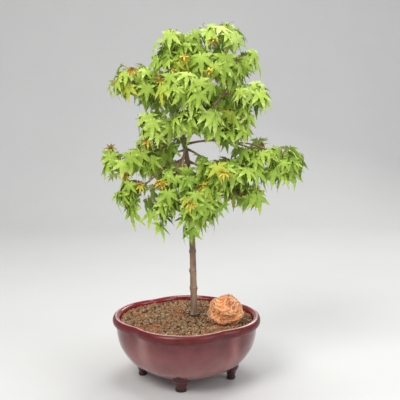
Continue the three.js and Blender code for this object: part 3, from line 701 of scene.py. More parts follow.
def grid_triangles(rings, sides, start=0):
    """Triangles between neighbouring rings of points, each ring closed on itself"""
    ring, side = np.meshgrid(np.arange(rings - 1), np.arange(sides), indexing="ij")
    a = start + ring * sides + side
    b = start + ring * sides + (side + 1) % sides
    c, d = b + sides, a + sides
    return np.concatenate([np.stack([a, b, c], -1).reshape(-1, 3), np.stack([a, c, d], -1).reshape(-1, 3)])


def lathe(profile, segments, reshape=None):
    """A closed turned shape. The profile starts and ends on the axis."""
    angles = np.arange(segments) * TURN / segments
    radii = np.array([radius for radius, _ in profile[1:-1]])[:, None]
    heights = np.array([height for _, height in profile[1:-1]])[:, None]
    x, y = radii * np.cos(angles), radii * np.sin(angles)
    z = np.broadcast_to(heights, x.shape)
    points = np.stack([x, y, z], -1).reshape(-1, 3)
    ends = np.array([(0, 0, profile[0][1]), (0, 0, profile[-1][1])])
    points = np.vstack([points, ends])
    triangles = [grid_triangles(len(profile) - 2, segments)]
    first, last = len(points) - 2, len(points) - 1
    side = np.arange(segments)
    after = (side + 1) % segments
    top = (len(profile) - 3) * segments
    triangles.append(np.stack([np.full(segments, first), after, side], -1))
    triangles.append(np.stack([np.full(segments, last), top + side, top + after], -1))
    if reshape:
        points = reshape(points)
    return points, np.concatenate(triangles)


def fine_profile(corners, steps):
    """The profile with more points, on a smooth curve through the corners"""
    curve = ThroughPoints(corners)
    count = (len(corners) - 1) * steps
    fine = [curve(i / count) for i in range(count + 1)]
    return [(max(0.0, radius), height) for radius, height in fine]


def tube(centres, radii, sides):
    """A closed tube along a line of points, each ring turned as little as possible"""
    centres = np.asarray(centres, float)
    directions = np.gradient(centres, axis=0)
    directions /= np.linalg.norm(directions, axis=1)[:, None]
    starts_upright = abs(directions[0, 2]) > 0.9
    side = np.cross(EAST if starts_upright else UP, directions[0])
    angles = np.arange(sides) * TURN / sides
    rings = []
    for centre, direction, radius in zip(centres, directions, radii):
        side = unit(side - direction * side.dot(direction))
        other = np.cross(direction, side)
        circle = np.outer(np.cos(angles), side) + np.outer(np.sin(angles), other)
        rings.append(centre + circle * np.asarray(radius).reshape(-1, 1))
    points = np.vstack([*rings, centres[:1], centres[-1:]])
    triangles = [grid_triangles(len(centres), sides)]
    place = np.arange(sides)
    after = (place + 1) % sides
    low, high = len(points) - 2, len(points) - 1
    top = (len(centres) - 1) * sides
    triangles.append(np.stack([np.full(sides, low), after, place], -1))
    triangles.append(np.stack([np.full(sides, high), top + place, top + after], -1))
    return points, np.concatenate(triangles)


def soft_noise(points, scale, seed=0.0):
    """Smooth noise of about -1 to 1 at each point"""
    shifted = np.asarray(points) * scale + seed
    return np.array([noise.noise(Vector(point)) for point in shifted])


def icosphere(subdivisions, radius):
    """Corner points and triangles of a ball of even triangles"""
    shape = bmesh.new()
    bmesh.ops.create_icosphere(shape, subdivisions=subdivisions, radius=radius)
    points = np.array([vertex.co[:] for vertex in shape.verts])
    triangles = np.array([[vertex.index for vertex in face.verts] for face in shape.faces])
    shape.free()
    return points, triangles


# Laying out the limbs, as in the solids


def trunk_radius(t, swelling=TRUNK.joint_swelling):
    """The trunk's radius at a share of its curve, thicker at the old leaf joints"""
    last = len(TRUNK.radii) - 1
    k = min(int(t * last), last - 1)
    plain = mix(TRUNK.radii[k], TRUNK.radii[k + 1], t * last - k)
    height = TRUNK_CURVE(t)[2]
    nearest = min(abs(joint - height) for joint in TRUNK.joints)
    return plain * (1 + swelling * max(0, 1 - nearest / TRUNK.joint_half))


TRUNK_CURVE = ThroughPoints(TRUNK.stations)


def space_share(points, mass):
    """How far out points lie in a mass's space: 0 at its middle and 1 at its edge"""
    return np.linalg.norm((points - mass.centre) / mass.reach, axis=-1)


def lay_out_bough(name, parent, along, to, lift, foot, mass=None):
    """A limb that bows from its parent to its end, and carries on into its mass if it has one"""
    start = parent.at(along * parent.enter)
    end = np.array(to, float)
    line = end - start
    length = np.linalg.norm(line)
    if mass:
        end = end + line * STEM.past_middle * mass.reach[0] / length
    bend = (start + end) / 2 + UP * 2 * lift * length
    curve = Bow(start, bend, end)
    enter = 1.0
    if mass:
        steps = 100
        inside = [i / steps for i in range(steps) if space_share(curve(i / steps), mass) < STEM.enters_at]
        enter = max(BOUGH.shortest, inside[0])
    foot = min(foot, BOUGH.foot_share * parent.radius(along * parent.enter))
    return SimpleNamespace(
        name=name, mass=mass, at=curve, enter=enter, steps=BOUGH.steps,
        radius=lambda t: mix(foot, BOUGH.tip, min(1, t / enter)),
    )


def lay_out_limbs():
    """The trunk, the fork and the bough of every mass, by name"""
    trunk = SimpleNamespace(name="trunk", at=TRUNK_CURVE, enter=1.0, steps=TRUNK.steps, radius=trunk_radius)
    limbs = {"trunk": trunk}
    name, parent, along, to, lift, foot = FORK
    limbs[name] = lay_out_bough(name, limbs[parent], along, to, lift, foot)
    for mass in MASSES:
        limbs[mass.name] = lay_out_bough(
            mass.name, limbs[mass.parent], mass.along, mass.centre, mass.lift, BOUGH.foot, mass
        )
    return limbs


def wood_stretches(limbs):
    """Straight stretches of all limbs, and the radius of each"""
    stretches, radii = [], []
    for limb in limbs.values():
        for i in range(limb.steps):
            low, high = limb.enter * i / limb.steps, limb.enter * (i + 1) / limb.steps
            stretches.append((limb.at(low), limb.at(high)))
            radii.append(max(limb.radius(low), limb.radius(high)))
    return np.array(stretches), np.array(radii)


# Growing the masses


def keeps_to_borders(points, mass, gap):
    """Whether all points stay on the mass's own side of its borders with the others"""
    others = [other for other in MASSES if other is not mass]
    centres = np.array([other.centre for other in others])
    sizes = np.array([other.reach.mean() for other in others])
    own = ((points - mass.centre) ** 2).sum(-1)[:, None] - mass.reach.mean() ** 2
    theirs = ((points[:, None] - centres) ** 2).sum(-1) - sizes**2
    apart = 2 * np.linalg.norm(mass.centre - centres, axis=-1)
    return bool(((theirs - own) / apart).min() > gap)


def keeps_to_space(points, mass):
    """Whether all points lie inside the mass's reach and its borders, as in the solids"""
    if space_share(points, mass).max() > SPACING.past_reach:
        return False
    return keeps_to_borders(points, mass, SPACING.to_border)


def keeps_to_fine_space(points, mass):
    """The same for fine leaves, which hang below their twigs and mingle with the next mass's"""
    steps = (points - mass.centre) / mass.reach
    steps[:, 2] = np.where(steps[:, 2] < 0, steps[:, 2] / SHOOT.hang, steps[:, 2])
    if np.linalg.norm(steps, axis=-1).max() > SHOOT.past_reach:
        return False
    return keeps_to_borders(points, mass, -SHOOT.past_border)


def keeps_to_box(points):
    """Whether no point passes the solids' box by more than the margin"""
    margin = BOX_MARGIN * (CAD_HIGH - CAD_LOW)
    placed = points + POT_MIDDLE
    return bool((placed > CAD_LOW - margin).all() and (placed < CAD_HIGH + margin).all())


def keeps_sky_open(points):
    """Whether no point hides, from the lens, the sky that the photo shows between the leaves"""
    share = LENS[1] / (LENS[1] - points[:, 1])
    seen = LENS[[0, 2]] + (points[:, [0, 2]] - LENS[[0, 2]]) * share[:, None]
    return bool((np.linalg.norm(seen[:, None] - SKY[:, :2], axis=-1) > SKY[:, 2]).all())


def clear_of_wood(edges, gap, wood):
    """Whether all edges keep a gap from the bark of every limb"""
    stretches, radii = wood
    return bool((stretch_distances(edges, stretches) > radii + gap).all())


def leaf_outline(length):
    """The solid leaf's outline, from its tip round, in its own frame"""
    half = []
    for k, (angle, share) in enumerate(LEAF.lobes):
        half.append((angle, share, -LEAF.curl * share**2))
        if k < len(LEAF.cuts):
            half.append((*LEAF.cuts[k], LEAF.cut_lift))

    def place(angle, share, height, side):
        turn = side * math.radians(angle)
        return (share * math.cos(turn), share * math.sin(turn), height)

    left = [place(*point, 1) for point in half]
    right = [place(*point, -1) for point in half[:0:-1]]
    return length * np.array([*left, (-LEAF.base, 0, 0), *right])


def leaf_at(root, heading, draws, trial, more_roll=0.0):
    """A leaf that a twig would carry, with its frame, its outline and its ribs"""
    turn_draw, droop_draw, bend_draw, roll_draw, length_draw, stalk_draw = draws
    turn, more_droop, size = trial
    heading = heading + LEAF.turn_spread * (turn_draw - 0.5) + turn
    droop = LEAF.droop + LEAF.droop_spread * droop_draw + more_droop
    rise = LEAF.bend - droop + LEAF.bend_spread * bend_draw
    roll = LEAF.roll_spread * (roll_draw - 0.5) + more_roll
    length = LEAF.length * (1 + LEAF.spread * (length_draw - 0.5)) * size
    stalk = (LEAF.stalk + LEAF.stalk_spread * stalk_draw) * size
    out = np.array((math.cos(heading), math.sin(heading), 0.0))
    origin = root + out * stalk * math.cos(rise) + UP * stalk * math.sin(rise)
    along = out * math.cos(droop) - UP * math.sin(droop)
    across = np.cross(UP, out)
    top = np.cross(along, across)
    rolled = across * math.cos(roll) + top * math.sin(roll)
    top = top * math.cos(roll) - across * math.sin(roll)
    basis = np.array((along, rolled, top))
    outline = leaf_outline(length) @ basis + origin
    heart = np.array((LEAF.heart * length, 0, 0)) @ basis + origin
    ribs = np.array([(heart, tip) for tip in outline[::2]])
    rim = np.stack([outline, np.roll(outline, -1, axis=0)], 1)
    return SimpleNamespace(
        root=root, origin=origin, basis=basis, length=length, outline=outline, heart=heart,
        ribs=ribs, blade=np.concatenate([ribs, rim]), stalk=np.array([(root, heart)]),
    )


def gap_to_leaves(leaf, leaves):
    """How near a leaf comes to the others"""
    near = [other for other in leaves if np.linalg.norm(other.heart - leaf.heart) <= 2 * LEAF.length]
    if not near:
        return math.inf
    blades = np.concatenate([other.blade for other in near])
    stalks = np.concatenate([other.stalk for other in near])
    return min(
        stretch_distances(np.vstack([blades, stalks]), leaf.blade).min(),
        stretch_distances(blades, leaf.stalk).min(),
    )


def grow_twigs(mass, stem, wood):
    """Twigs spiral round the stem towards points spread through the mass's space"""
    draw = Draws(mass.seed)
    twigs = []
    for k in range(mass.shoots):
        lift = TWIG.highest - TWIG.fall * (k + 0.5) / mass.shoots
        flat = math.sqrt(1 - lift * lift)
        far = TWIG.far + TWIG.far_spread * draw()
        draws = [[draw() for _ in range(LEAF_DRAWS)] for _ in TWIG.leaves]
        up_stem = (k * GOLDEN_SHARE + STEM.roots_shift) % 1
        root = along_line(stem, STEM.roots_from + STEM.roots_span * up_stem)
        for turned, size in TWIG.tries:
            turn = k * GOLDEN_ANGLE + mass.seed + turned
            out = far * size
            level = np.array((math.cos(turn), math.sin(turn), 0.0)) * flat * out
            tip = (level + UP * (lift * out + TWIG.lift)) * mass.reach + mass.centre
            if not keeps_to_space(tip[None], mass):
                continue
            if not clear_of_wood(np.array([(root, tip)]), TWIG.radius + CLEAR, wood):
                continue
            twigs.append(SimpleNamespace(root=root, tip=tip, draws=draws))
            break
    return twigs


def along_line(points, share):
    """The place at a share of the whole length of a line of points"""
    lengths = np.linalg.norm(np.diff(points, axis=0), axis=1)
    ends = np.cumsum(lengths)
    k = int(np.searchsorted(ends, share * ends[-1]))
    k = min(k, len(lengths) - 1)
    within = 1 - (ends[k] - share * ends[-1]) / lengths[k]
    return mix(points[k], points[k + 1], within)


def outward(root):
    """The heading that faces out of the crown"""
    return math.atan2(root[1] - CROWN_AXIS[1], root[0] - CROWN_AXIS[0])


def fits(leaf, mass, leaves, own_wood, wood):
    """Whether a leaf of the solids keeps to its mass and clear of wood, twigs and other leaves"""
    if not keeps_to_space(np.vstack([leaf.outline, leaf.heart, leaf.root]), mass):
        return False
    if not clear_of_wood(np.vstack([leaf.blade, leaf.stalk]), SPACING.to_wood, wood):
        return False
    if stretch_distances(leaf.blade, own_wood).min() < SPACING.to_twig:
        return False
    return gap_to_leaves(leaf, leaves) > SPACING.to_leaf


def grow_leaves(mass, own_wood, twigs, wood):
    """The leaves that the solids have, a fan at each twig's tip and pairs below, as they hang when soft"""
    leaves, hanging = [], []
    for i, (along, turned) in enumerate(TWIG.leaves):
        for twig in twigs:
            root = mix(twig.root, twig.tip, along)
            for trial in LEAF.tries:
                leaf = leaf_at(root, outward(root) + turned, twig.draws[i], trial)
                if fits(leaf, mass, leaves, own_wood, wood):
                    leaves.append(leaf)
                    turn, more_droop, size = trial
                    lower = (turn, more_droop + LEAF.sag, size)
                    hanging.append(leaf_at(root, outward(root) + turned, twig.draws[i], lower))
                    break
    return hanging


class Room:
    """What fine leaves keep clear of: the middles of all blades so far, and the wood"""

    def __init__(self, leaves, wood):
        self.middles = np.array([blade_middle(leaf) for leaf in leaves])
        self.wood = wood

    def has_place_for(self, leaf, mass):
        """Whether a fine leaf has room, shows no sky shut and, if it has a mass, keeps to its reach"""
        if np.linalg.norm(self.middles - blade_middle(leaf), axis=1).min() <= SHOOT.apart:
            return False
        if mass and not keeps_to_fine_space(leaf.outline, mass):
            return False
        if not keeps_to_box(leaf.outline) or not keeps_sky_open(leaf.outline):
            return False
        return clear_of_wood(np.vstack([leaf.ribs, leaf.stalk]), SHOOT.to_wood, self.wood)

    def add(self, leaf):
        self.middles = np.vstack([self.middles, blade_middle(leaf)])


def blade_middle(leaf):
    return leaf.heart + LEAF.middle * leaf.length * leaf.basis[0]


def grow_shoots(part, room):
    """Finer shoots along the twigs, each with leaves of its own, in the room that is left"""
    draw = Draws(part.mass.seed + SEEDS.shoots)
    for along, turned in SHOOT.places:
        for twig in part.twigs:
            root = mix(twig.root, twig.tip, along)
            heading = outward(root) + turned + draw.around(0, SHOOT.heading_spread)
            rise = SHOOT.rise + SHOOT.rise_spread * draw()
            length = SHOOT.length * draw.around(1, SHOOT.length_spread)
            level = np.array((math.cos(heading), math.sin(heading), 0.0))
            tip = root + (level * math.cos(rise) + UP * math.sin(rise)) * length
            shoot = SimpleNamespace(root=root, tip=tip, heading=heading, places=SHOOT.leaves)
            hang_leaves(part, shoot, draw, room, part.mass)


def grow_trails(part, room):
    """Longer shoots from the nearest twig to their named places beside the mass"""
    draw = Draws(part.mass.seed + SEEDS.trails)
    starts = [mix(twig.root, twig.tip, share) for twig in part.twigs for share in TRAIL_STARTS]
    for name, place in TRAILS:
        if name == part.mass.name:
            tip = np.array(place)
            root = min(starts, key=lambda start: np.linalg.norm(start - tip))
            heading = math.atan2(tip[1] - root[1], tip[0] - root[0])
            shoot = SimpleNamespace(root=root, tip=tip, heading=heading, places=TRAIL_LEAVES)
            hang_leaves(part, shoot, draw, room)


def hang_leaves(part, shoot, draw, room, mass=None):
    """Leaves along a fine shoot where they have room, and the shoot itself if it carries any"""
    carried = []
    for share, leaf_turn in shoot.places:
        draws = [draw() for _ in range(LEAF_DRAWS)]
        roll = draw.around(0, SHOOT.roll_spread)
        tilt = draw.around(SHOOT.droop, SHOOT.tilt_spread)
        start = mix(shoot.root, shoot.tip, share)
        size = mix(1.0, SHOOT.smallest_leaf, draw())
        for turn, more_droop, smaller in SHOOT.tries:
            trial = (turn, more_droop + tilt, smaller * size)
            leaf = leaf_at(start, shoot.heading + leaf_turn, draws, trial, roll)
            if room.has_place_for(leaf, mass):
                room.add(leaf)
                carried.append(leaf)
                break
    if carried:
        part.leaves.extend(carried)
        part.shoots.append(shoot)


@functools.lru_cache(maxsize=1)
def grown_crown():
    """Every limb of the tree, and the twigs, shoots and leaves of every mass"""
    limbs = lay_out_limbs()
    wood = wood_stretches(limbs)
    grown = {}
    for mass in MASSES:
        limb = limbs[mass.name]
        stem = np.array([limb.at(mix(limb.enter, 1, step / STEM.steps)) for step in range(STEM.steps + 1)])
        twigs = grow_twigs(mass, stem, wood)
        own_wood = np.array([*zip(stem[:-1], stem[1:]), *((twig.root, twig.tip) for twig in twigs)])
        leaves = grow_leaves(mass, own_wood, twigs, wood)
        grown[mass.name] = SimpleNamespace(mass=mass, twigs=twigs, shoots=[], leaves=leaves)
    room = Room([leaf for part in grown.values() for leaf in part.leaves], wood)
    for grow_finer in (grow_trails, grow_shoots):
        for part in grown.values():
            grow_finer(part, room)
    return limbs, grown


def young_tips(part, share):
    """Stems of the tufts of young leaves: those in the photo, and some short ones on other twigs"""
    draw = Draws(part.mass.seed + SEEDS.tufts)
    stems = []
    for name, place in TUFTS:
        if name == part.mass.name:
            nearest = min(part.twigs, key=lambda twig: np.linalg.norm(twig.tip - place))
            stems.append((nearest.tip, np.array(place)))
    for twig in part.twigs:
        direction = unit(unit(twig.tip - twig.root) + UP)
        length = draw.around(YOUNG.stem, YOUNG.stem_spread)
        if draw() < share:
            stems.append((twig.tip, twig.tip + direction * length))
    return stems


# Leaf blades

BLADE = SimpleNamespace(
    lobes=[(-142, 0.27), (-96, 0.58), (-47, 0.88), (0, 1.0), (47, 0.88), (96, 0.58), (142, 0.27)],
    cuts=[(-121, 0.13), (-72, 0.21), (-23, 0.245), (23, 0.245), (72, 0.21), (121, 0.13)],
    base=(-0.03, 0.024),
    heart_share=0.4,
    curl=0.32,
    curl_spread=0.26,
    fold=0.16,
    fold_spread=0.5,
    ripple=0.008,
    ripple_along=9,
    ripple_across=7,
    cut_spread=0.12,
    cut_fold=0.045,
    half_way_fold=0.02,
    cut_fade=1.7,
    turn_spread=7,
    length_spread=0.1,
    sway=0.14,
    latest_start=0.6,
    belly=0.088,
    belly_narrowing=1.65,
    teeth=4,
    young_teeth=1,
    tooth=0.02,
    tooth_from=1.2,
    tooth_lean=0.25,
    small_lobe=0.4,
    small_lobe_teeth=2,
    thinnest=0.004,
    rib=0.009,
    rib_narrowing=0.8,
    rib_fold=0.01,
    kinds=8,
    tip_from=0.62,
)
BLADE_FACE, TIP_FACE, RIB_FACE = 0, 1, 2


def lobe_half_width(share, at_cut, length):
    """Half of a lobe's width, from the cut at share 0 to the tip at share 1"""
    peak = 1 / (1 + BLADE.belly_narrowing)
    height = peak * (1 - peak) ** BLADE.belly_narrowing
    belly = share * (1 - share) ** BLADE.belly_narrowing / height
    return at_cut * (1 - share) ** BLADE.cut_fade + BLADE.belly * length * belly


def towards(angle):
    """The level direction at an angle in degrees"""
    turn = math.radians(angle)
    return np.array((math.cos(turn), math.sin(turn)))


class Blade:
    """One way that a blade can lie: points in the leaf's own frame for a length of 1, and triangles"""

    def __init__(self, seed, most_teeth):
        self.seed, self.most_teeth = seed, most_teeth
        self.draw = Draws(seed)
        self.curl = self.draw.around(BLADE.curl, BLADE.curl_spread)
        self.fold = self.draw.around(BLADE.fold, BLADE.fold_spread)
        self.heart = np.array((LEAF.heart * BLADE.heart_share, 0.0))
        self.points, self.triangles, self.kinds = [np.array((*self.heart, 0.0))], [], []
        cuts = self.put_cuts()
        for k, (angle, share) in enumerate(BLADE.lobes):
            self.add_lobe(angle, share, cuts[k:k + 2])

    def put(self, point, beside_rib=0.0):
        """Adds a point at the height that the curled and folded blade has there"""
        along, across = point
        wave = BLADE.ripple_along * along + BLADE.ripple_across * across + self.seed
        height = -self.curl * np.linalg.norm(point) ** 2 + self.fold * beside_rib
        height += BLADE.ripple * math.sin(wave)
        self.points.append(np.array((along, across, height)))
        return len(self.points) - 1

    def put_cuts(self):
        """Every cut and both ends of the base: its place, and the points put half way to it and at it"""
        places = [share * self.draw.around(1, BLADE.cut_spread) * towards(angle)
                  for angle, share in BLADE.cuts]
        back, beside = BLADE.base
        cuts = []
        for place in [np.array((back, -beside)), *places, np.array((back, beside))]:
            half_way = self.put((self.heart + place) / 2, BLADE.half_way_fold)
            cuts.append((place, half_way, self.put(place, BLADE.cut_fold)))
        return cuts

    def add_lobe(self, angle, share, cuts):
        """A lobe from the heart to its tip, between the cuts on its two sides"""
        facing = towards(angle + self.draw.around(0, BLADE.turn_spread))
        tip = share * self.draw.around(1, BLADE.length_spread) * facing
        length = np.linalg.norm(tip - self.heart)
        direction = (tip - self.heart) / length
        sway = self.draw.around(0, BLADE.sway) * length
        near = [abs((place - self.heart) @ direction) / length for place, _, _ in cuts]
        start = min(BLADE.latest_start, sum(near) / 2)
        small = share <= BLADE.small_lobe
        teeth = min(self.most_teeth, BLADE.small_lobe_teeth) if small else self.most_teeth
        toothed = [start + (1 - start) * j / (2 * teeth) for j in range(1, 2 * teeth + 1)]
        lobe = SimpleNamespace(
            length=length, direction=direction, sideways=np.array((-direction[1], direction[0])), sway=sway,
            start=start, stations=[start / 2, start, *toothed],
        )
        left, right = self.put_rib(lobe)
        self.add_side(lobe, right, cuts[0], -1)
        self.add_side(lobe, left, cuts[1], 1)
        for j in range(len(left) - 1):
            self.add_quad((left[j], right[j], right[j + 1], left[j + 1]), RIB_FACE)

    def rib_at(self, lobe, share):
        return self.heart + lobe.direction * lobe.length * share + lobe.sideways * lobe.sway * share**2

    def put_rib(self, lobe):
        """The two edges of a lobe's rib, from the heart to the tip where they meet"""
        left, right = [0], [0]
        for station in lobe.stations[:-1]:
            width = BLADE.rib * (1 - BLADE.rib_narrowing * station)
            left.append(self.put(self.rib_at(lobe, station) + lobe.sideways * width, BLADE.rib_fold))
            right.append(self.put(self.rib_at(lobe, station) - lobe.sideways * width, BLADE.rib_fold))
        tip = self.put(self.rib_at(lobe, 1.0))
        return [*left, tip], [*right, tip]

    def add_side(self, lobe, rib, cut, side):
        """The blade between a rib and the toothed edge that runs from a cut to the lobe's tip"""
        place, half_way, cut_index = cut
        at_cut = abs((place - self.rib_at(lobe, lobe.start)) @ lobe.sideways)
        edge = [0, half_way, cut_index]
        for j, station in enumerate(lobe.stations[2:-1], 1):
            out = (station - lobe.start) / (1 - lobe.start)
            width = lobe_half_width(out, at_cut, lobe.length)
            tooth = BLADE.tooth * lobe.length * (BLADE.tooth_from - out) * (1 if j % 2 else -1)
            lean = BLADE.tooth_lean * abs(tooth) if j % 2 else 0
            wide = lobe.sideways * side * max(BLADE.thinnest, width + tooth)
            edge.append(self.put(self.rib_at(lobe, station) + wide + lobe.direction * lean, width))
        edge.append(rib[-1])
        for j, station in enumerate(lobe.stations):
            kind = TIP_FACE if station > BLADE.tip_from else BLADE_FACE
            a, b, c, d = rib[j], edge[j], edge[j + 1], rib[j + 1]
            self.add_quad((a, b, c, d) if side < 0 else (d, c, b, a), kind)

    def add_quad(self, quad, kind):
        a, b, c, d = quad
        for triangle in ((a, b, c), (a, c, d)):
            if len(set(triangle)) == 3:
                self.triangles.append(triangle)
                self.kinds.append(kind)


@functools.lru_cache(maxsize=2)
def blade_shapes(teeth):
    """Points, triangles and kinds of face of every way that a blade can lie"""
    blades = [Blade(seed, teeth) for seed in range(1, BLADE.kinds + 1)]
    return [(np.array(blade.points), np.array(blade.triangles), np.array(blade.kinds)) for blade in blades]


# Materials


def node_group(name, inputs, outputs):
    """An empty shader node group with named sockets"""
    group = bpy.data.node_groups.new(name, "ShaderNodeTree")
    for label, kind, default in inputs:
        socket = group.interface.new_socket(name=label, in_out="INPUT", socket_type=kind)
        socket.default_value = default
    for label, kind in outputs:
        group.interface.new_socket(name=label, in_out="OUTPUT", socket_type=kind)
    return group, group.nodes.new("NodeGroupInput"), group.nodes.new("NodeGroupOutput")


def put_node(tree, kind, values=None, **settings):
    """A node with its settings, and with values or links for its inputs"""
    node = tree.nodes.new(kind)
    for key, value in settings.items():
        setattr(node, key, value)
    for key, value in (values or {}).items():
        if isinstance(value, bpy.types.NodeSocket):
            tree.links.new(value, node.inputs[key])
        else:
            node.inputs[key].default_value = value
    return node


# Where Blender's Mix node has its share, its two numbers, its two colours and the mixed colour
SHARE, FIRST_NUMBER, SECOND_NUMBER, FIRST_COLOUR, SECOND_COLOUR, MIXED_COLOUR = 0, 2, 3, 6, 7, 2


def work_out(tree, operation, *values, **settings):
    """The outcome of a Math node"""
    values = dict(enumerate(values))
    return put_node(tree, "ShaderNodeMath", values, operation=operation, **settings).outputs[0]


def ramp(tree, value, start, end, **settings):
    """A mask that runs from 0 at the start value to 1 at the end value"""
    values = {"Value": value, "From Min": start, "From Max": end}
    return put_node(tree, "ShaderNodeMapRange", values, **settings).outputs[0]


def mix_colours(tree, share, first, second):
    values = {SHARE: share, FIRST_COLOUR: first, SECOND_COLOUR: second}
    return put_node(tree, "ShaderNodeMix", values, data_type="RGBA").outputs[MIXED_COLOUR]


def place_on_object(tree):
    """The place on the object, and its coordinates one by one"""
    place = put_node(tree, "ShaderNodeTexCoord").outputs["Object"]
    return place, put_node(tree, "ShaderNodeSeparateXYZ", {0: place}).outputs


def stretched_place(group, given):
    """The place on the object, stretched as the group is told"""
    place = put_node(group, "ShaderNodeTexCoord").outputs["Object"]
    values = {0: place, 1: given.outputs["Stretch"]}
    return put_node(group, "ShaderNodeVectorMath", values, operation="MULTIPLY").outputs[0]


@functools.lru_cache(maxsize=1)
def mottle_group():
    """Two colours mixed in soft patches"""
    group, given, result = node_group(
        "mottle",
        [("Scale", "NodeSocketFloat", 50.0), ("Stretch", "NodeSocketVector", (1, 1, 1)),
         ("Balance", "NodeSocketFloat", 0.5), ("Softness", "NodeSocketFloat", 0.2),
         ("First", "NodeSocketColor", (1, 1, 1, 1)), ("Second", "NodeSocketColor", (0, 0, 0, 1))],
        [("Color", "NodeSocketColor")],
    )
    values = {"Vector": stretched_place(group, given), "Scale": given.outputs["Scale"],
              "Detail": 6.0, "Roughness": 0.6}
    patches = put_node(group, "ShaderNodeTexNoise", values)
    low = work_out(group, "SUBTRACT", given.outputs["Balance"], given.outputs["Softness"])
    high = work_out(group, "ADD", given.outputs["Balance"], given.outputs["Softness"])
    mask = ramp(group, patches.outputs["Fac"], low, high, interpolation_type="SMOOTHSTEP")
    mixed = mix_colours(group, mask, given.outputs["First"], given.outputs["Second"])
    group.links.new(mixed, result.inputs["Color"])
    return group


@functools.lru_cache(maxsize=1)
def grain_group():
    """Fine relief and a roughness that follows it"""
    group, given, result = node_group(
        "fine grain",
        [("Scale", "NodeSocketFloat", 400.0), ("Stretch", "NodeSocketVector", (1, 1, 1)),
         ("Pits", "NodeSocketFloat", 0.3), ("Rough From", "NodeSocketFloat", 0.4),
         ("Rough To", "NodeSocketFloat", 0.6)],
        [("Height", "NodeSocketFloat"), ("Roughness", "NodeSocketFloat")],
    )
    values = {"Vector": stretched_place(group, given), "Scale": given.outputs["Scale"]}
    waves = put_node(group, "ShaderNodeTexNoise", {**values, "Detail": 5.0})
    cells = put_node(group, "ShaderNodeTexVoronoi", values)
    height = put_node(group, "ShaderNodeMix",
                      {SHARE: given.outputs["Pits"], FIRST_NUMBER: waves.outputs["Fac"],
                       SECOND_NUMBER: cells.outputs["Distance"]})
    rough = put_node(group, "ShaderNodeMapRange",
                     {"Value": waves.outputs["Fac"], "From Min": 0.3, "From Max": 0.7,
                      "To Min": given.outputs["Rough From"], "To Max": given.outputs["Rough To"]})
    group.links.new(height.outputs[0], result.inputs["Height"])
    group.links.new(rough.outputs[0], result.inputs["Roughness"])
    return group


def rgba(colour, share=1.0):
    return (*(min(1.0, channel * share) for channel in colour), 1.0)


def darker(colour, share):
    return tuple(share * channel for channel in colour)


def new_material(name, **plain):
    """A material and its shader, with plain values set on the shader's own sockets"""
    material = bpy.data.materials.new(name)
    material.use_nodes = True
    tree = material.node_tree
    tree.nodes.clear()
    output = tree.nodes.new("ShaderNodeOutputMaterial")
    shader = tree.nodes.new("ShaderNodeBsdfPrincipled")
    for key, value in plain.items():
        shader.inputs[key.replace("_", " ")].default_value = value
    tree.links.new(shader.outputs[0], output.inputs["Surface"])
    return material, tree, shader


def add_mottle(tree, first, second, scale, balance=0.5, softness=0.2, stretch=(1, 1, 1)):
    """The colour of two colours in soft patches"""
    values = {"Scale": scale, "Stretch": stretch, "Balance": balance, "Softness": softness,
              "First": first, "Second": second}
    return put_node(tree, "ShaderNodeGroup", values, node_tree=mottle_group()).outputs["Color"]


def add_grain(tree, shader, scale, strength, distance, rough, pits=0.3, stretch=(1, 1, 1)):
    """Fine relief and roughness on a shader"""
    values = {"Scale": scale, "Stretch": stretch, "Pits": pits, "Rough From": rough[0], "Rough To": rough[1]}
    grain = put_node(tree, "ShaderNodeGroup", values, node_tree=grain_group())
    bump = put_node(tree, "ShaderNodeBump",
                    {"Height": grain.outputs["Height"], "Strength": strength, "Distance": distance})
    tree.links.new(bump.outputs[0], shader.inputs["Normal"])
    tree.links.new(grain.outputs["Roughness"], shader.inputs["Roughness"])


def patchy_material(name, first, second, scale, grain_scale, strength, distance, rough,
                    balance=0.5, softness=0.2, stretch=(1, 1, 1)):
    """A matt material of two mottled colours with fine relief"""
    material, tree, shader = new_material(name)
    mottle = add_mottle(tree, rgba(first), rgba(second), scale, balance, softness, stretch)
    tree.links.new(mottle, shader.inputs["Base Color"])
    add_grain(tree, shader, grain_scale, strength, distance, rough, stretch=stretch)
    return material


GLAZE = {"Coat_Weight": 0.3, "Coat_Roughness": 0.06, "IOR": 1.47}
WORN_GLAZE = {"Coat_Weight": 0.08, "Coat_Roughness": 0.2, "IOR": 1.42}
GLAZE_GRAIN = {"scale": 320.0, "strength": 0.05, "distance": 0.0004, "pits": 0.2}
# Heights between which the glaze runs thin, its mauve also a painted reflection of the pale floor, and a
# foot's pad turns black, how the thin edge wanders, and the painted pale reflection streaks along the
# notches
GLAZE_RUN_AND_REFLECTION = SimpleNamespace(
    full=0.094, thin=0.040, wander=0.022, wander_scale=26.0, notch_reach=0.32, notch_share=0.55,
    pad_top=0.0065, pad=0.0040,
)


def foot_glaze(settings):
    """Dark glaze of the feet, black at their pads"""
    material, tree, shader = new_material("foot_glaze", **GLAZE)
    _, coordinates = place_on_object(tree)
    pad = ramp(tree, coordinates["Z"], GLAZE_RUN_AND_REFLECTION.pad_top, GLAZE_RUN_AND_REFLECTION.pad)
    body = add_mottle(tree, rgba(settings.foot_colour), rgba(settings.band_colour, share=0.9),
                      scale=110.0, balance=0.6, softness=0.12)
    both = mix_colours(tree, pad, body, rgba(settings.foot_colour, share=0.15))
    tree.links.new(both, shader.inputs["Base Color"])
    add_grain(tree, shader, rough=(0.12, 0.25), **GLAZE_GRAIN)
    return material


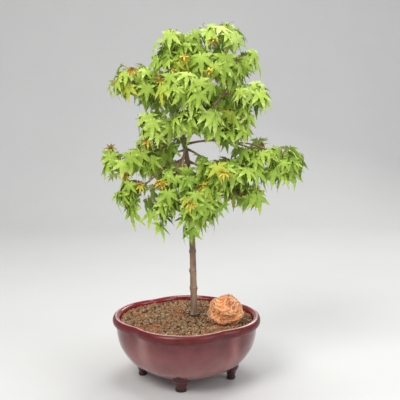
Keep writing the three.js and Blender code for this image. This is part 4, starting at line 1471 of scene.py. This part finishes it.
def notch_mask(tree, coordinates):
    """A mask that is 1 along the bowl's notches and 0 away from them, where a painted pale reflection streak
    goes
    """
    half = POT.notches / 2
    angle = work_out(tree, "ARCTAN2", coordinates["Y"], coordinates["X"])
    wave = work_out(tree, "MULTIPLY_ADD", angle, half, -half * POT.turn)
    sway = work_out(tree, "SINE", wave)
    shifted = work_out(tree, "MULTIPLY_ADD", sway, -half * POT.notch_shift, wave)
    beside = work_out(tree, "ABSOLUTE", work_out(tree, "COSINE", shifted))
    return ramp(tree, beside, GLAZE_RUN_AND_REFLECTION.notch_reach, 0.0, interpolation_type="SMOOTHSTEP")


def wall_glaze(settings):
    """Gloss glaze of the wall: burgundy, and mauve where it runs thin, low down and at the notches; the
    mauve also stands as a painted reflection of the pale floor low down and a painted pale streak along each
    notch
    """
    material, tree, shader = new_material("oxblood_glaze_and_reflection", **GLAZE)
    place, coordinates = place_on_object(tree)
    wander = put_node(tree, "ShaderNodeTexNoise", {"Vector": place, "Scale": GLAZE_RUN_AND_REFLECTION.wander_scale})
    height = work_out(tree, "MULTIPLY_ADD", wander.outputs["Fac"], GLAZE_RUN_AND_REFLECTION.wander, coordinates["Z"])
    low = ramp(tree, height, GLAZE_RUN_AND_REFLECTION.full, GLAZE_RUN_AND_REFLECTION.thin)
    notches = notch_mask(tree, coordinates)
    # The thin mask also places the painted reflection: the pale floor's low down and a pale streak along
    # each notch
    thin = work_out(tree, "MULTIPLY_ADD", notches, GLAZE_RUN_AND_REFLECTION.notch_share, low, use_clamp=True)
    body = add_mottle(tree, rgba(settings.body_colour), rgba(settings.body_colour, share=0.72),
                      scale=70.0, balance=0.52)
    pale = add_mottle(tree, rgba(settings.thin_glaze_and_reflection_colour), rgba(settings.thin_glaze_and_reflection_colour, share=0.8),
                      scale=55.0, softness=0.22)
    tree.links.new(mix_colours(tree, thin, body, pale), shader.inputs["Base Color"])
    add_grain(tree, shader, rough=(0.10, 0.22), **GLAZE_GRAIN)
    return material


def lip_glaze(name, colour, second, rough=(0.10, 0.20), gloss=GLAZE):
    """Glaze of one band of the lip, pooled in soft patches"""
    material, tree, shader = new_material(name, **gloss)
    pooled = add_mottle(tree, rgba(colour), rgba(second), scale=90.0, balance=0.56, softness=0.16)
    tree.links.new(pooled, shader.inputs["Base Color"])
    add_grain(tree, shader, rough=rough, **GLAZE_GRAIN)
    return material


LEAF_COLOURS = [
    ("leaf_deep", (0.120, 0.240, 0.022)),
    ("leaf_green", (0.215, 0.355, 0.036)),
    ("leaf_fresh", (0.315, 0.470, 0.052)),
    ("leaf_lime", (0.420, 0.580, 0.080)),
    ("leaf_pale", (0.550, 0.700, 0.165)),
    ("leaf_young", (0.500, 0.590, 0.058)),
    ("leaf_gold", (0.640, 0.560, 0.065)),
    ("leaf_amber", (0.660, 0.300, 0.045)),
    ("leaf_rib", (0.500, 0.640, 0.160)),
]
PALE, YOUNG_GREEN, GOLD, AMBER, RIB_COLOUR = 4, 5, 6, 7, 8
# The colour of a leaf's tips, for each colour of its blade
TIP_COLOURS = [1, 2, 3, PALE, PALE, GOLD]


def leaf_material(name, colour):
    """Soft leaf skin: paler underneath, with fine relief between the veins"""
    material, tree, shader = new_material(name, IOR=1.36, Specular_IOR_Level=0.35)
    top = add_mottle(tree, rgba(colour), rgba(colour, share=GREENS.shade), scale=150.0, softness=0.25)
    facing = put_node(tree, "ShaderNodeNewGeometry")
    under = tuple(mix(channel, GREENS.under, GREENS.under_share) for channel in colour)
    both = mix_colours(tree, facing.outputs["Backfacing"], top, rgba(under))
    tree.links.new(both, shader.inputs["Base Color"])
    add_grain(tree, shader, scale=1100.0, strength=0.25, distance=0.0003, rough=(0.42, 0.6), pits=0.5)
    return material


# Building the pieces


def dress(piece, slot, *nodes):
    """Makes a piece ride with the plant and stand for its solids"""
    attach(piece, "root")
    if nodes:
        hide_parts(*nodes)
    return piece


def lobe_share(angles, heights):
    """The share of the full radius that the notched outline has"""
    soft = POT.notch_softness
    widest = math.hypot(1, soft)
    turned = angles - POT.turn
    shifted = turned - POT.notch_shift * np.sin(POT.notches / 2 * turned)
    wave = np.hypot(np.cos(POT.notches / 2 * shifted), soft)
    notch = (widest - wave) / (widest - soft)
    rise = smooth_step(heights, POT.base, POT.notch_full_height)
    depth = POT.notch_depth * mix(POT.notch_at_base, 1, rise)
    return 1 - depth * notch**POT.notch_narrowing


def press_notches(points):
    """Points of a round shape, drawn in at the bowl's notches"""
    angles = np.arctan2(points[:, 1], points[:, 0])
    share = lobe_share(angles, points[:, 2])
    return points * np.stack([share, share, np.ones(len(points))], -1)


def crest_share(points):
    """How near each point is to the crest above a foot: 1 at its middle and 0 beyond its edge"""
    angles = np.arctan2(points[:, 1], points[:, 0]) - POT.turn
    angles = (angles + math.pi / POT.notches) % (TURN / POT.notches) - math.pi / POT.notches
    radii = np.linalg.norm(points[:, :2], axis=1)
    beside = np.abs(angles) * radii
    middle = (FOOT.crest_low + FOOT.crest_high) / 2
    half = (FOOT.crest_high - FOOT.crest_low) / 2
    share = np.hypot(beside / FOOT.crest_width, (points[:, 2] - middle) / half)
    return np.maximum(0, 1 - share) * (radii > FOOT.crest_from)


def raise_crests(points):
    """A small scalloped crest on the wall above each foot"""
    radii = np.linalg.norm(points[:, :2], axis=1)
    rise = FOOT.crest_rise * smooth_step(crest_share(points), 0, FOOT.crest_full)
    outward_share = 1 + rise / np.maximum(radii, FOOT.crest_from)
    return points * np.stack([outward_share, outward_share, np.ones(len(points))], -1)


FOOT_GLAZE = 4


def build_pot(settings):
    """The bowl with its lip in three bands, and its four feet"""
    heap = Heap()
    profile = fine_profile([*POT.outer_wall, *POT.lip, *POT.inner_wall], POT.wall_steps)
    scale = settings.rim_radius / ((POT_HIGH.x - POT_LOW.x) / 2)
    points, triangles = lathe(profile, POT.segments, lambda p: raise_crests(press_notches(p)))
    corner = len(POT.outer_wall) + np.array(POT.bands)
    ring = triangles.min(1) // POT.segments
    slots = np.searchsorted(corner * POT.wall_steps, ring, side="right")
    slots = np.where(crest_share(points[triangles].mean(1)) > FOOT.dark_crest, FOOT_GLAZE, slots)
    heap.add(points * (scale, scale, 1), triangles, slots)
    for k in range(POT.notches):
        points, triangles = lathe(fine_profile(FOOT.profile, FOOT.wall_steps), FOOT.segments)
        points = points * (FOOT.narrowing, 1, 1) + (FOOT.rings[k % 2], 0, 0)
        turn = POT.turn + k * TURN / POT.notches
        out = np.array((math.cos(turn), math.sin(turn), 0))
        heap.add(points @ np.array((out, np.cross(UP, out), UP)), triangles, FOOT_GLAZE)
    band, crest = settings.band_colour, settings.crest_glaze_and_highlight_colour
    glazes = [
        wall_glaze(settings),
        lip_glaze("band_glaze", band, darker(band, 0.5), rough=(0.3, 0.45), gloss=WORN_GLAZE),
        # The crest's pale line is where the glaze breaks and also a painted highlight
        lip_glaze("crest_glaze_and_highlight", crest, darker(crest, 0.55)),
        lip_glaze("lip_glaze", settings.lip_colour, band),
        foot_glaze(settings),
    ]
    pot = heap.build("glazed_bowl", glazes)
    return dress(pot, "glaze", "pot")


def soil_height(x, y):
    """Height of the soil's surface: a little lower at the wall, with low mounds"""
    radii = np.hypot(x, y)
    raked = smooth_step(from_trunk(x, y), *SOIL.calm_around_trunk)
    raked = raked * (1 - smooth_step(radii, *SOIL.calm_at_wall))
    wave = math.pi / SOIL.mound_spacing
    slant_x, slant_y = SOIL.mound_slant
    mounds = np.sin(wave * (x + slant_x * y)) * np.cos(wave * (y + slant_y * x))
    return mix(SOIL.level, SOIL.edge, (radii / SOIL.edge_radius) ** 2) + SOIL.mound * raked * mounds


def from_trunk(x, y):
    """How far places on the soil are from the middle of the trunk's foot"""
    middle_x, middle_y, _ = TRUNK.stations[0]
    return np.hypot(x - middle_x, y - middle_y)


def stone_outline_share(x, y):
    """How far out places lie from the stone's middle: 1 at its outline"""
    return np.hypot((x - STONE.centre[0]) / (STONE.size[0] / 2), (y - STONE.centre[1]) / (STONE.size[1] / 2))


BED_COLOURS = (0.030, 0.017, 0.010), (0.080, 0.045, 0.022)


def build_soil_bed():
    """The dark bed that shows between the grains"""
    inward = [(max(0.0, radius - SOIL.wall_gap), height + SOIL.wall_gap)
              for radius, height in POT.inner_wall[:1:-1]]
    inward_shares = np.arange(SOIL.bed_rings + 1) / SOIL.bed_rings
    top = [(SOIL.edge_radius * (1 - share), SOIL.level) for share in inward_shares]
    points, triangles = lathe([*inward, *top], SOIL.segments, press_notches)
    lumps = SOIL.bed_lumps * soft_noise(points, SOIL.bed_lump_scale)
    surface = soil_height(points[:, 0], points[:, 1]) - SOIL.bed_depth + lumps
    points[:, 2] = np.where(points[:, 2] >= SOIL.level, surface, points[:, 2])
    heap = Heap()
    heap.add(points, triangles)
    material = patchy_material("soil_bed", *BED_COLOURS, scale=180.0, grain_scale=900.0, strength=0.6,
                               distance=0.001, rough=(0.85, 1.0))
    return dress(heap.build("soil_bed", [material]), "soil", "soil")


# The kinds of soil grain: name, colour and share of all grains
GRAIN_COLOURS = [
    ("grain_tan", (0.430, 0.252, 0.130), 0.27),
    ("grain_olive", (0.310, 0.203, 0.080), 0.22),
    ("grain_brown", (0.200, 0.100, 0.048), 0.20),
    ("grain_cream", (0.560, 0.405, 0.250), 0.07),
    ("grain_rust", (0.420, 0.130, 0.042), 0.07),
    ("grain_dark", (0.055, 0.032, 0.020), 0.17),
]
RUST_GRAIN, DARK_GRAIN = 4, 5


def grain_places(pitch, draws):
    """Jittered rows of places over the soil, clear of the stone and the trunk"""
    row_pitch = pitch * math.sqrt(3) / 2
    rows, columns = (int(2 * SOIL.reach / step) + 1 for step in (row_pitch, pitch))
    row, column = np.meshgrid(np.arange(rows), np.arange(columns), indexing="ij")
    x = (column + 0.5 * (row % 2)) * pitch - SOIL.reach
    y = row * row_pitch - SOIL.reach
    x, y = x.ravel(), y.ravel()
    x = x + pitch * draws.uniform(-SOIL.grain_scatter, SOIL.grain_scatter, x.size)
    y = y + pitch * draws.uniform(-SOIL.grain_scatter, SOIL.grain_scatter, y.size)
    radii, angles = np.hypot(x, y), np.arctan2(y, x)
    inside = radii < SOIL.reach * lobe_share(angles, np.full(x.size, SOIL.level))
    off_stone = stone_outline_share(x, y) > SOIL.clear_of_stone
    off_trunk = from_trunk(x, y) > SOIL.clear_of_trunk * TRUNK.radii[0]
    keep = inside & off_stone & off_trunk
    return x[keep], y[keep]


def build_soil_grains(settings):
    """Loose grains of many sizes and six colours, in a full layer and a thin one on top"""
    draws = np.random.default_rng(SOIL.grain_seed)
    shape, triangles = icosphere(subdivisions=1, radius=0.5)
    lower_x, lower_y = grain_places(settings.grain_pitch, draws)
    upper_x, upper_y = grain_places(settings.grain_pitch * SOIL.upper_pitch, draws)
    x = np.concatenate([lower_x, upper_x])
    y = np.concatenate([lower_y, upper_y])
    upper = np.arange(x.size) >= lower_x.size
    size = settings.grain_size * np.exp(draws.normal(0, SOIL.grain_spread, x.size))
    size = np.clip(size, *SOIL.grain_limits)
    shift = draws.uniform(*SOIL.grain_shift, x.size)
    z = soil_height(x, y) - SOIL.grain_depth + upper * SOIL.upper_rise + shift
    turns = draws.normal(size=(x.size, 4))
    turns /= np.linalg.norm(turns, axis=1)[:, None]
    stretch = draws.uniform(*SOIL.grain_stretch, (x.size, 3))
    uneven = draws.uniform(-SOIL.grain_unevenness, SOIL.grain_unevenness, (x.size, len(shape), 1))
    corners = shape[None] * (1 + uneven) * (stretch * size[:, None])[:, None]
    corners = turned_by(corners, turns) + np.stack([x, y, z], -1)[:, None]
    colours = draws.choice(len(GRAIN_COLOURS), x.size, p=[share for *_, share in GRAIN_COLOURS])
    rusty = soft_noise(np.stack([x, y, z], -1), SOIL.rust_scale, seed=4.0) > SOIL.rust_from
    colours[rusty & (draws.uniform(size=x.size) < SOIL.rust_share)] = RUST_GRAIN
    beside_trunk = from_trunk(x, y) < SOIL.dark_reach
    colours[beside_trunk & (draws.uniform(size=x.size) < SOIL.dark_share)] = DARK_GRAIN
    faces = triangles[None] + len(shape) * np.arange(x.size)[:, None, None]
    heap = Heap()
    heap.add(corners.reshape(-1, 3), faces.reshape(-1, 3), np.repeat(colours, len(triangles)))
    materials = [
        patchy_material(name, colour, darker(colour, 0.72), scale=420.0, grain_scale=1500.0,
                        strength=0.4, distance=0.0004, rough=(0.75, 0.98))
        for name, colour, _ in GRAIN_COLOURS
    ]
    return dress(heap.build("soil_grains", materials, smooth=False), "soil")


def turned_by(points, quaternions):
    """Points of many small shapes, each turned by its own quaternion"""
    w, axis = quaternions[:, None, :1], quaternions[:, None, 1:]
    twice = 2 * np.cross(np.broadcast_to(axis, points.shape), points)
    return points + w * twice + np.cross(np.broadcast_to(axis, points.shape), twice)


def build_stone(settings):
    """A ball pressed out of round, with ridges, folds and crumbs"""
    points, triangles = icosphere(STONE.detail, radius=1.0)
    knob = np.ones(len(points))
    for share, along, shift in STONE.swells:
        knob += share * np.sin(points @ np.array(along, float) + shift)
    drift = np.stack([soft_noise(points, STONE.warp_scale, seed) for seed in STONE.warp_seeds], -1)
    warped = points + STONE.warp * drift
    ridges = 1 - np.abs(soft_noise(warped, STONE.ridge_scale, seed=7.0)) * STONE.sharpness
    folds = 1 - np.abs(soft_noise(warped, STONE.fold_scale, seed=17.0)) * STONE.sharpness
    crumbs = soft_noise(points, STONE.crumb_scale, seed=5.0)
    knob += STONE.ridge_height * ridges + STONE.fold_height * folds + STONE.crumb_height * crumbs
    points = points * (knob - STONE.ridge_height)[:, None]
    points[:, 2] = np.maximum(points[:, 2], -STONE.underside)
    points = points * (np.array(STONE.size) / 2) + np.array(STONE.centre)
    heap = Heap()
    heap.add(points, triangles)
    stone = heap.build("rough_stone", [stone_material(settings)])
    return dress(stone, "stone", "stone")


STONE_PINK = (0.30, 0.055, 0.032)


def stone_material(settings):
    """Orange stone with cream ridges and a few pink patches"""
    material, tree, shader = new_material("orange_stone")
    body = add_mottle(tree, rgba(settings.stone_colour), rgba(settings.stone_colour, share=0.55),
                      scale=95.0, softness=0.14)
    pink = add_mottle(tree, body, rgba(STONE_PINK), scale=60.0, balance=0.59, softness=0.05)
    edge = put_node(tree, "ShaderNodeNewGeometry")
    ridge = ramp(tree, edge.outputs["Pointiness"], start=0.49, end=0.56)
    cream = mix_colours(tree, ridge, pink, rgba(settings.stone_edge_colour))
    tree.links.new(cream, shader.inputs["Base Color"])
    add_grain(tree, shader, scale=700.0, strength=0.6, distance=0.0008, rough=(0.75, 0.95), pits=0.5)
    return material


RING_COLOURS = (0.085, 0.050, 0.036), (0.34, 0.24, 0.17)
YOUNG_OLIVE = (0.34, 0.25, 0.12)
STALK_COLOURS = (0.42, 0.13, 0.09), (0.38, 0.34, 0.10)
BARK, BARK_RING, YOUNG_WOOD, STALK = range(4)


def bark_materials(settings):
    """The four kinds of wood, in the order of their numbers above"""
    bark, young = settings.bark_colour, settings.young_wood_colour
    return [
        patchy_material("bark", bark, darker(bark, 0.42), scale=110.0, grain_scale=620.0, strength=0.5,
                        distance=0.0005, rough=(0.6, 0.85), balance=0.52, stretch=(1, 1, 0.28)),
        patchy_material("bark_ring", *RING_COLOURS, scale=240.0, grain_scale=700.0, strength=0.5,
                        distance=0.0004, rough=(0.7, 0.9)),
        patchy_material("young_wood", young, YOUNG_OLIVE, scale=90.0, grain_scale=900.0, strength=0.2,
                        distance=0.0003, rough=(0.4, 0.6), balance=0.55),
        patchy_material("leaf_stalk", *STALK_COLOURS, scale=60.0, grain_scale=900.0, strength=0.15,
                        distance=0.0002, rough=(0.35, 0.5), softness=0.12),
    ]


def build_trunk(settings):
    """The trunk, with rings at its old leaf joints and a flare on the soil"""
    shares = np.linspace(0, 1, TRUNK.rings)
    centres = np.array([TRUNK_CURVE(t) for t in shares])
    points, triangles = tube(centres, [trunk_radius(t, TRUNK.bark_swelling) for t in shares], TRUNK.sides)
    wall = TRUNK.rings * TRUNK.sides
    middles = np.repeat(centres, TRUNK.sides, axis=0)
    out = points[:wall] - middles
    radii = np.linalg.norm(out, axis=1)
    out /= radii[:, None]
    wrinkles = soft_noise(points[:wall] * TRUNK.wrinkle_stretch, TRUNK.wrinkle_scale)
    lumps = soft_noise(points[:wall], TRUNK.lump_scale, seed=9.0)
    foot = smooth_step(SOIL.level + TRUNK.flare_height - points[:wall, 2], 0, TRUNK.flare_height)
    headings = np.arctan2(out[:, 1], out[:, 0])
    roots = 0.5 + 0.5 * np.cos(TRUNK.roots * headings + TRUNK.roots_turn)
    rise = settings.bark_relief * (wrinkles + TRUNK.lump_share * lumps) + TRUNK.flare * foot * roots
    for height, heading, knob in TRUNK.knobs:
        turned = (headings - math.radians(heading) + math.pi) % TURN - math.pi
        level_share = (points[:wall, 2] - height) / TRUNK.knob_height
        rise += knob * np.exp(-(level_share**2) - (turned / math.radians(TRUNK.knob_angle)) ** 2)
    points[:wall] = middles + out * (radii + rise)[:, None]
    points[:, 2] = np.maximum(points[:, 2], SOIL.level - TRUNK.sunk)
    middles = points[triangles].mean(1)
    crooked = middles[:, 2] + TRUNK.ring_sway * soft_noise(middles, TRUNK.ring_sway_scale, seed=3.0)
    nearest = np.abs(crooked[:, None] - np.array(TRUNK.joints)).min(1)
    heap = Heap()
    heap.add(points, triangles, np.where(nearest < TRUNK.ring_half, BARK_RING, BARK))
    return dress(heap.build("trunk_bark", bark_materials(settings)), "bark", "trunk")


def wavy_line(shoot, draw):
    """Points along a shoot, bowed and a little crooked"""
    line = shoot.tip - shoot.root
    length = np.linalg.norm(line)
    sideways = np.cross(line, UP + 0.01 * EAST)
    sideways = sideways / max(np.linalg.norm(sideways), NEARLY_ZERO)
    swing = draw.around(0, SHOOT.swing) * length
    shares = np.linspace(0, 1, SHOOT.rings)
    arch = np.sin(math.pi * shares)[:, None]
    kink = np.sin(2 * math.pi * shares)[:, None]
    bow = arch * UP * SHOOT.arch * length
    return shoot.root + line * shares[:, None] + bow + kink * sideways * swing / 2


def build_boughs(settings):
    """Every bough, carried on as the stem inside its mass"""
    boughs = [limb for limb in grown_crown()[0].values() if limb.name != "trunk"]
    heap = Heap()
    shares = np.linspace(0, 1, BOUGH.rings + 1)
    for bough in boughs:
        centres = np.array([bough.at(t) for t in shares])
        past = np.maximum(0, shares - bough.enter) / max(1 - bough.enter, NEARLY_ZERO)
        fade = [bough.radius(t) + (STEM.tip - BOUGH.tip) * share for t, share in zip(shares, past)]
        run = shares * np.linalg.norm(np.diff(centres, axis=0), axis=1).sum()
        joints = np.abs((run / BOUGH.joint_spacing) % 1 - 0.5) < BOUGH.joint_half
        collar = 1 + BOUGH.collar * np.exp(-run / BOUGH.collar_length)
        radii = np.array(fade) * collar * (1 + BOUGH.joint_swelling * joints)
        points, triangles = tube(centres, radii, BOUGH.sides)
        relief = soft_noise(points, BOUGH.relief_scale)[:, None] * BOUGH.relief
        points += relief * unit_rows(points - nearest_centres(points, centres))
        ring = np.clip(triangles.min(1) // BOUGH.sides, 0, BOUGH.rings)
        heap.add(points, triangles, np.where(shares[ring] > BOUGH.young_from, YOUNG_WOOD, BARK))
    nodes = [f"bough_{bough.name}" for bough in boughs]
    return dress(heap.build("boughs", bark_materials(settings)), "bark", *nodes)


def unit_rows(rows):
    """Each row at a length of 1"""
    return rows / np.maximum(np.linalg.norm(rows, axis=1), NEARLY_ZERO)[:, None]


def nearest_centres(points, centres):
    """The nearest centre to each point"""
    apart = np.linalg.norm(points[:, None] - centres[None], axis=-1)
    return centres[apart.argmin(1)]


def build_twigs(settings):
    """Twigs, finer shoots and leaf stalks of all masses"""
    heap = Heap()
    buds = 1 + TWIG.bud_swelling * (np.arange(TWIG.rings) % 2)
    twig_radii = np.linspace(TWIG.radius * TWIG.foot_share, TWIG.tip, TWIG.rings) * buds
    shoot_radii = np.linspace(SHOOT.radius, SHOOT.tip, SHOOT.rings)
    for part in grown_crown()[1].values():
        draw = Draws(part.mass.seed + SEEDS.twigs)
        for twig in part.twigs:
            line = np.linspace(twig.root, twig.tip, TWIG.rings)
            heap.add(*tube(line, twig_radii, TWIG.sides), YOUNG_WOOD)
        for foot, tip in young_tips(part, settings.tufts):
            line = np.linspace(foot, tip, YOUNG.rings)
            heap.add(*tube(line, [YOUNG.radius] * YOUNG.rings, YOUNG.sides), STALK)
        for shoot in part.shoots:
            heap.add(*tube(wavy_line(shoot, draw), shoot_radii, SHOOT.sides), YOUNG_WOOD)
        for leaf in part.leaves:
            heap.add(*tube(stalk_line(leaf), LEAF.stalk_radii, LEAF.stalk_sides), STALK)
    return dress(heap.build("twigs", bark_materials(settings)), "foliage")


def stalk_line(leaf):
    """A leaf's stalk, bowed up from the twig and running a little way under the blade"""
    under = leaf.origin + leaf.basis[0] * leaf.length * LEAF.stalk_under - leaf.basis[2] * LEAF.stalk_below
    rise = UP * LEAF.stalk_bow * np.linalg.norm(leaf.origin - leaf.root)
    bow = Bow(leaf.root, (leaf.root + leaf.origin) / 2 + rise, under)
    return np.array([bow(t) for t in np.linspace(0, 1, len(LEAF.stalk_radii))])


def leaf_colour(leaf, tufts, draw):
    """Which green a leaf has: paler towards the top and the outside of the crown as painted light, darker
    low and inside it as painted shade, yellow by a tuft
    """
    if tufts and min(np.linalg.norm(leaf.heart - tuft) for tuft in tufts) < YOUNG.gold_reach:
        if draw() < YOUNG.gold_share:
            return YOUNG_GREEN
    height = np.clip((leaf.heart[2] - GREENS.lowest) / GREENS.height, 0, 1)
    out = np.clip(np.linalg.norm(leaf.heart[:2] - CROWN_AXIS) / GREENS.reach, 0, 1)
    # Painted light and shade: brighter greens higher up and further out, on top of a random tone
    bright = GREENS.darkest + GREENS.painted_light_by_height * height + GREENS.painted_light_by_reach * out
    return int(np.clip(round(bright + draw.around(0, GREENS.spread)), 0, PALE))


def build_leaves(settings):
    """The leaves of every storey, each in one of the ways that a blade can lie"""
    grown = grown_crown()[1]
    shapes = blade_shapes(BLADE.teeth)
    materials = [leaf_material(name, colour) for name, colour in LEAF_COLOURS]
    pieces = []
    for storey, names in STOREYS.items():
        heap = Heap()
        for name in names:
            draw = Draws(grown[name].mass.seed + SEEDS.blades)
            tufts = [tip for _, tip in young_tips(grown[name], settings.tufts)]
            for leaf in grown[name].leaves:
                points, triangles, kinds = shapes[int(draw() * len(shapes))]
                mirrored = -1 if draw() < 0.5 else 1
                colour = leaf_colour(leaf, tufts, draw)
                placed = (points * (1, mirrored, 1)) * leaf.length * settings.leaf_scale
                faces = triangles[:, ::mirrored]
                slots = np.choose(kinds, (colour, TIP_COLOURS[colour], RIB_COLOUR))
                heap.add(placed @ leaf.basis + leaf.origin, faces, slots)
            for tip in tufts:
                add_tuft(heap, tip, draw)
        piece = heap.build(f"leaves_{storey}", materials)
        pieces.append(dress(piece, "foliage", *(f"leaves_{name}" for name in names)))
    return pieces


def add_tuft(heap, place, draw):
    """A tuft of young folded leaves, amber and gold, at the end of a growing twig"""
    shapes = blade_shapes(BLADE.young_teeth)
    count = YOUNG.fewest + int(draw() * YOUNG.more)
    for k in range(count):
        heading = TURN * k / count + draw()
        tilt = draw.around(YOUNG.tilt, YOUNG.tilt_spread)
        out = np.array((math.cos(heading), math.sin(heading), 0.0))
        along = out * math.cos(tilt) - UP * math.sin(tilt)
        across = np.cross(UP, out)
        top = np.cross(along, across)
        size = draw.around(YOUNG.size, YOUNG.size_spread)
        points, triangles, kinds = shapes[int(draw() * len(shapes))]
        folded = points * (1, YOUNG.narrowing, 1) + np.abs(points[:, 1:2]) * (0, 0, YOUNG.fold)
        placed = folded * size @ np.array((along, across, top)) + place + along * YOUNG.past_tip
        if keeps_to_box(placed):
            colour = AMBER if draw() < YOUNG.amber_share else GOLD
            heap.add(placed, triangles, np.choose(kinds, (colour, GOLD, GOLD)))


# Floor, light and camera

STAGE = SimpleNamespace(
    width=6.0, front=4.0, back=2.2, height=3.0, bend=0.9, bend_steps=16, room=(0.80, 0.84, 0.88, 1),
    room_strength=0.55, sensor=36.0,
)
# The soft lights: name, place, what each aims at, width, watts and colour
LIGHTS = [
    ("key_light", (-0.9, -1.3, 1.7), (0, 0, 0.35), 1.1, 34, (1.0, 0.98, 0.95)),
    ("fill_light", (1.5, -1.0, 0.9), (0, 0, 0.3), 1.2, 11, (0.95, 0.98, 1.0)),
    ("top_light", (0.1, 0.2, 1.9), (0, 0, 0.4), 1.0, 20, (1.0, 1.0, 0.98)),
    ("rim_light", (0.7, 1.4, 1.1), (0, 0, 0.4), 0.8, 7, (1.0, 0.99, 0.96)),
]


def build_floor(colour):
    """A pale floor that curves up behind the plant"""
    bend = [(STAGE.back - STAGE.bend + STAGE.bend * math.sin(a), STAGE.bend - STAGE.bend * math.cos(a))
            for a in np.linspace(0, math.pi / 2, STAGE.bend_steps)]
    line = [(-STAGE.front, 0.0), *bend, (STAGE.back, STAGE.height)]
    points = [(x, y, z) for y, z in line for x in (-STAGE.width / 2, STAGE.width / 2)]
    triangles = []
    for a in range(0, 2 * len(line) - 2, 2):
        triangles += [(a, a + 1, a + 3), (a, a + 3, a + 2)]
    material = patchy_material("pale_floor", colour, darker(colour, 0.97), scale=3.0, grain_scale=300.0,
                               strength=0.03, distance=0.0002, rough=(0.55, 0.7))
    mesh_object("floor", points, triangles, [material])


def build_stage(settings):
    """The floor, soft lights, a pale room and the camera"""
    scene = bpy.context.scene
    build_floor(settings.floor_colour)
    for light in LIGHTS:
        add_light(*light)
    world = bpy.data.worlds.new("soft_room")
    world.use_nodes = True
    background = world.node_tree.nodes["Background"]
    background.inputs["Color"].default_value = STAGE.room
    background.inputs["Strength"].default_value = STAGE.room_strength
    scene.world = world
    scene.view_settings.view_transform = "Standard"
    data = bpy.data.cameras.new("camera")
    data.lens = settings.lens
    data.sensor_width = STAGE.sensor
    camera = bpy.data.objects.new("camera", data)
    across = POT_MIDDLE[0] + settings.camera_offset
    camera.location = (across, -settings.camera_distance, settings.camera_height)
    camera.rotation_euler = (math.pi / 2 - settings.camera_pitch, 0, 0)
    scene.collection.objects.link(camera)
    scene.camera = camera


def add_light(name, place, aim, size, power, colour):
    """A round soft light that faces what it aims at"""
    data = bpy.data.lights.new(name, "AREA")
    data.shape = "DISK"
    data.size = size
    data.energy = power
    data.color = colour
    light = bpy.data.objects.new(name, data)
    light.location = place
    light.rotation_euler = (Vector(aim) - Vector(place)).to_track_quat("-Z", "Y").to_euler()
    bpy.context.scene.collection.objects.link(light)


# Operators, panel and settings


class MAPLE_OT_pot(bpy.types.Operator):
    """Build the lobed glazed bowl on its four feet"""

    bl_idname = "maple.pot"
    bl_label = "Glazed bowl"

    def execute(self, context):
        build_pot(context.scene.maple_pot)
        return {"FINISHED"}


class MAPLE_OT_soil(bpy.types.Operator):
    """Fill the bowl with a bed of soil and loose grains"""

    bl_idname = "maple.soil"
    bl_label = "Gritty soil"

    def execute(self, context):
        build_soil_bed()
        build_soil_grains(context.scene.maple_soil)
        return {"FINISHED"}


class MAPLE_OT_stone(bpy.types.Operator):
    """Lay the rough stone on the soil"""

    bl_idname = "maple.stone"
    bl_label = "Rough stone"

    def execute(self, context):
        build_stone(context.scene.maple_soil)
        return {"FINISHED"}


class MAPLE_OT_limbs(bpy.types.Operator):
    """Build the trunk and the boughs with their bark"""

    bl_idname = "maple.limbs"
    bl_label = "Trunk and boughs"

    def execute(self, context):
        build_trunk(context.scene.maple_tree)
        build_boughs(context.scene.maple_tree)
        return {"FINISHED"}


class MAPLE_OT_twigs(bpy.types.Operator):
    """Grow the twigs, shoots and leaf stalks"""

    bl_idname = "maple.twigs"
    bl_label = "Twigs and stalks"

    def execute(self, context):
        build_twigs(context.scene.maple_tree)
        return {"FINISHED"}


class MAPLE_OT_leaves(bpy.types.Operator):
    """Hang the leaves, storey by storey"""

    bl_idname = "maple.leaves"
    bl_label = "Leaves"

    def execute(self, context):
        build_leaves(context.scene.maple_tree)
        return {"FINISHED"}


class MAPLE_OT_stage(bpy.types.Operator):
    """Set the pale floor, the soft lights and the camera"""

    bl_idname = "maple.stage"
    bl_label = "Floor, light and camera"

    def execute(self, context):
        build_stage(context.scene.maple_stage)
        return {"FINISHED"}


class MAPLE_PT_panel(bpy.types.Panel):
    """The steps and settings of the potted maple"""

    bl_idname = "MAPLE_PT_panel"
    bl_label = "Potted maple"
    bl_space_type = "VIEW_3D"
    bl_region_type = "UI"
    bl_category = "Maple"

    def draw(self, context):
        for key, (group, operators) in SECTIONS.items():
            box = self.layout.box()
            settings = getattr(context.scene, key)
            for name in group.__annotations__:
                box.prop(settings, name)
            for operator in operators:
                box.operator(operator.bl_idname)


SECTIONS = {
    "maple_pot": (MaplePotSettings, [MAPLE_OT_pot]),
    "maple_soil": (MapleSoilSettings, [MAPLE_OT_soil, MAPLE_OT_stone]),
    "maple_tree": (MapleTreeSettings, [MAPLE_OT_limbs, MAPLE_OT_twigs, MAPLE_OT_leaves]),
    "maple_stage": (MapleStageSettings, [MAPLE_OT_stage]),
}


def register():
    for key, (group, operators) in SECTIONS.items():
        bpy.utils.register_class(group)
        setattr(bpy.types.Scene, key, bpy.props.PointerProperty(type=group))
        for operator in operators:
            bpy.utils.register_class(operator)
    bpy.utils.register_class(MAPLE_PT_panel)


def unregister():
    bpy.utils.unregister_class(MAPLE_PT_panel)
    for key, (group, operators) in reversed(SECTIONS.items()):
        for operator in reversed(operators):
            bpy.utils.unregister_class(operator)
        delattr(bpy.types.Scene, key)
        bpy.utils.unregister_class(group)


def main():
    register()
    bpy.ops.maple.stage()
    bpy.ops.maple.pot()
    bpy.ops.maple.soil()
    bpy.ops.maple.stone()
    bpy.ops.maple.limbs()
    bpy.ops.maple.twigs()
    bpy.ops.maple.leaves()
    bpy.context.view_layer.update()


if __name__ == "__main__":
    main()
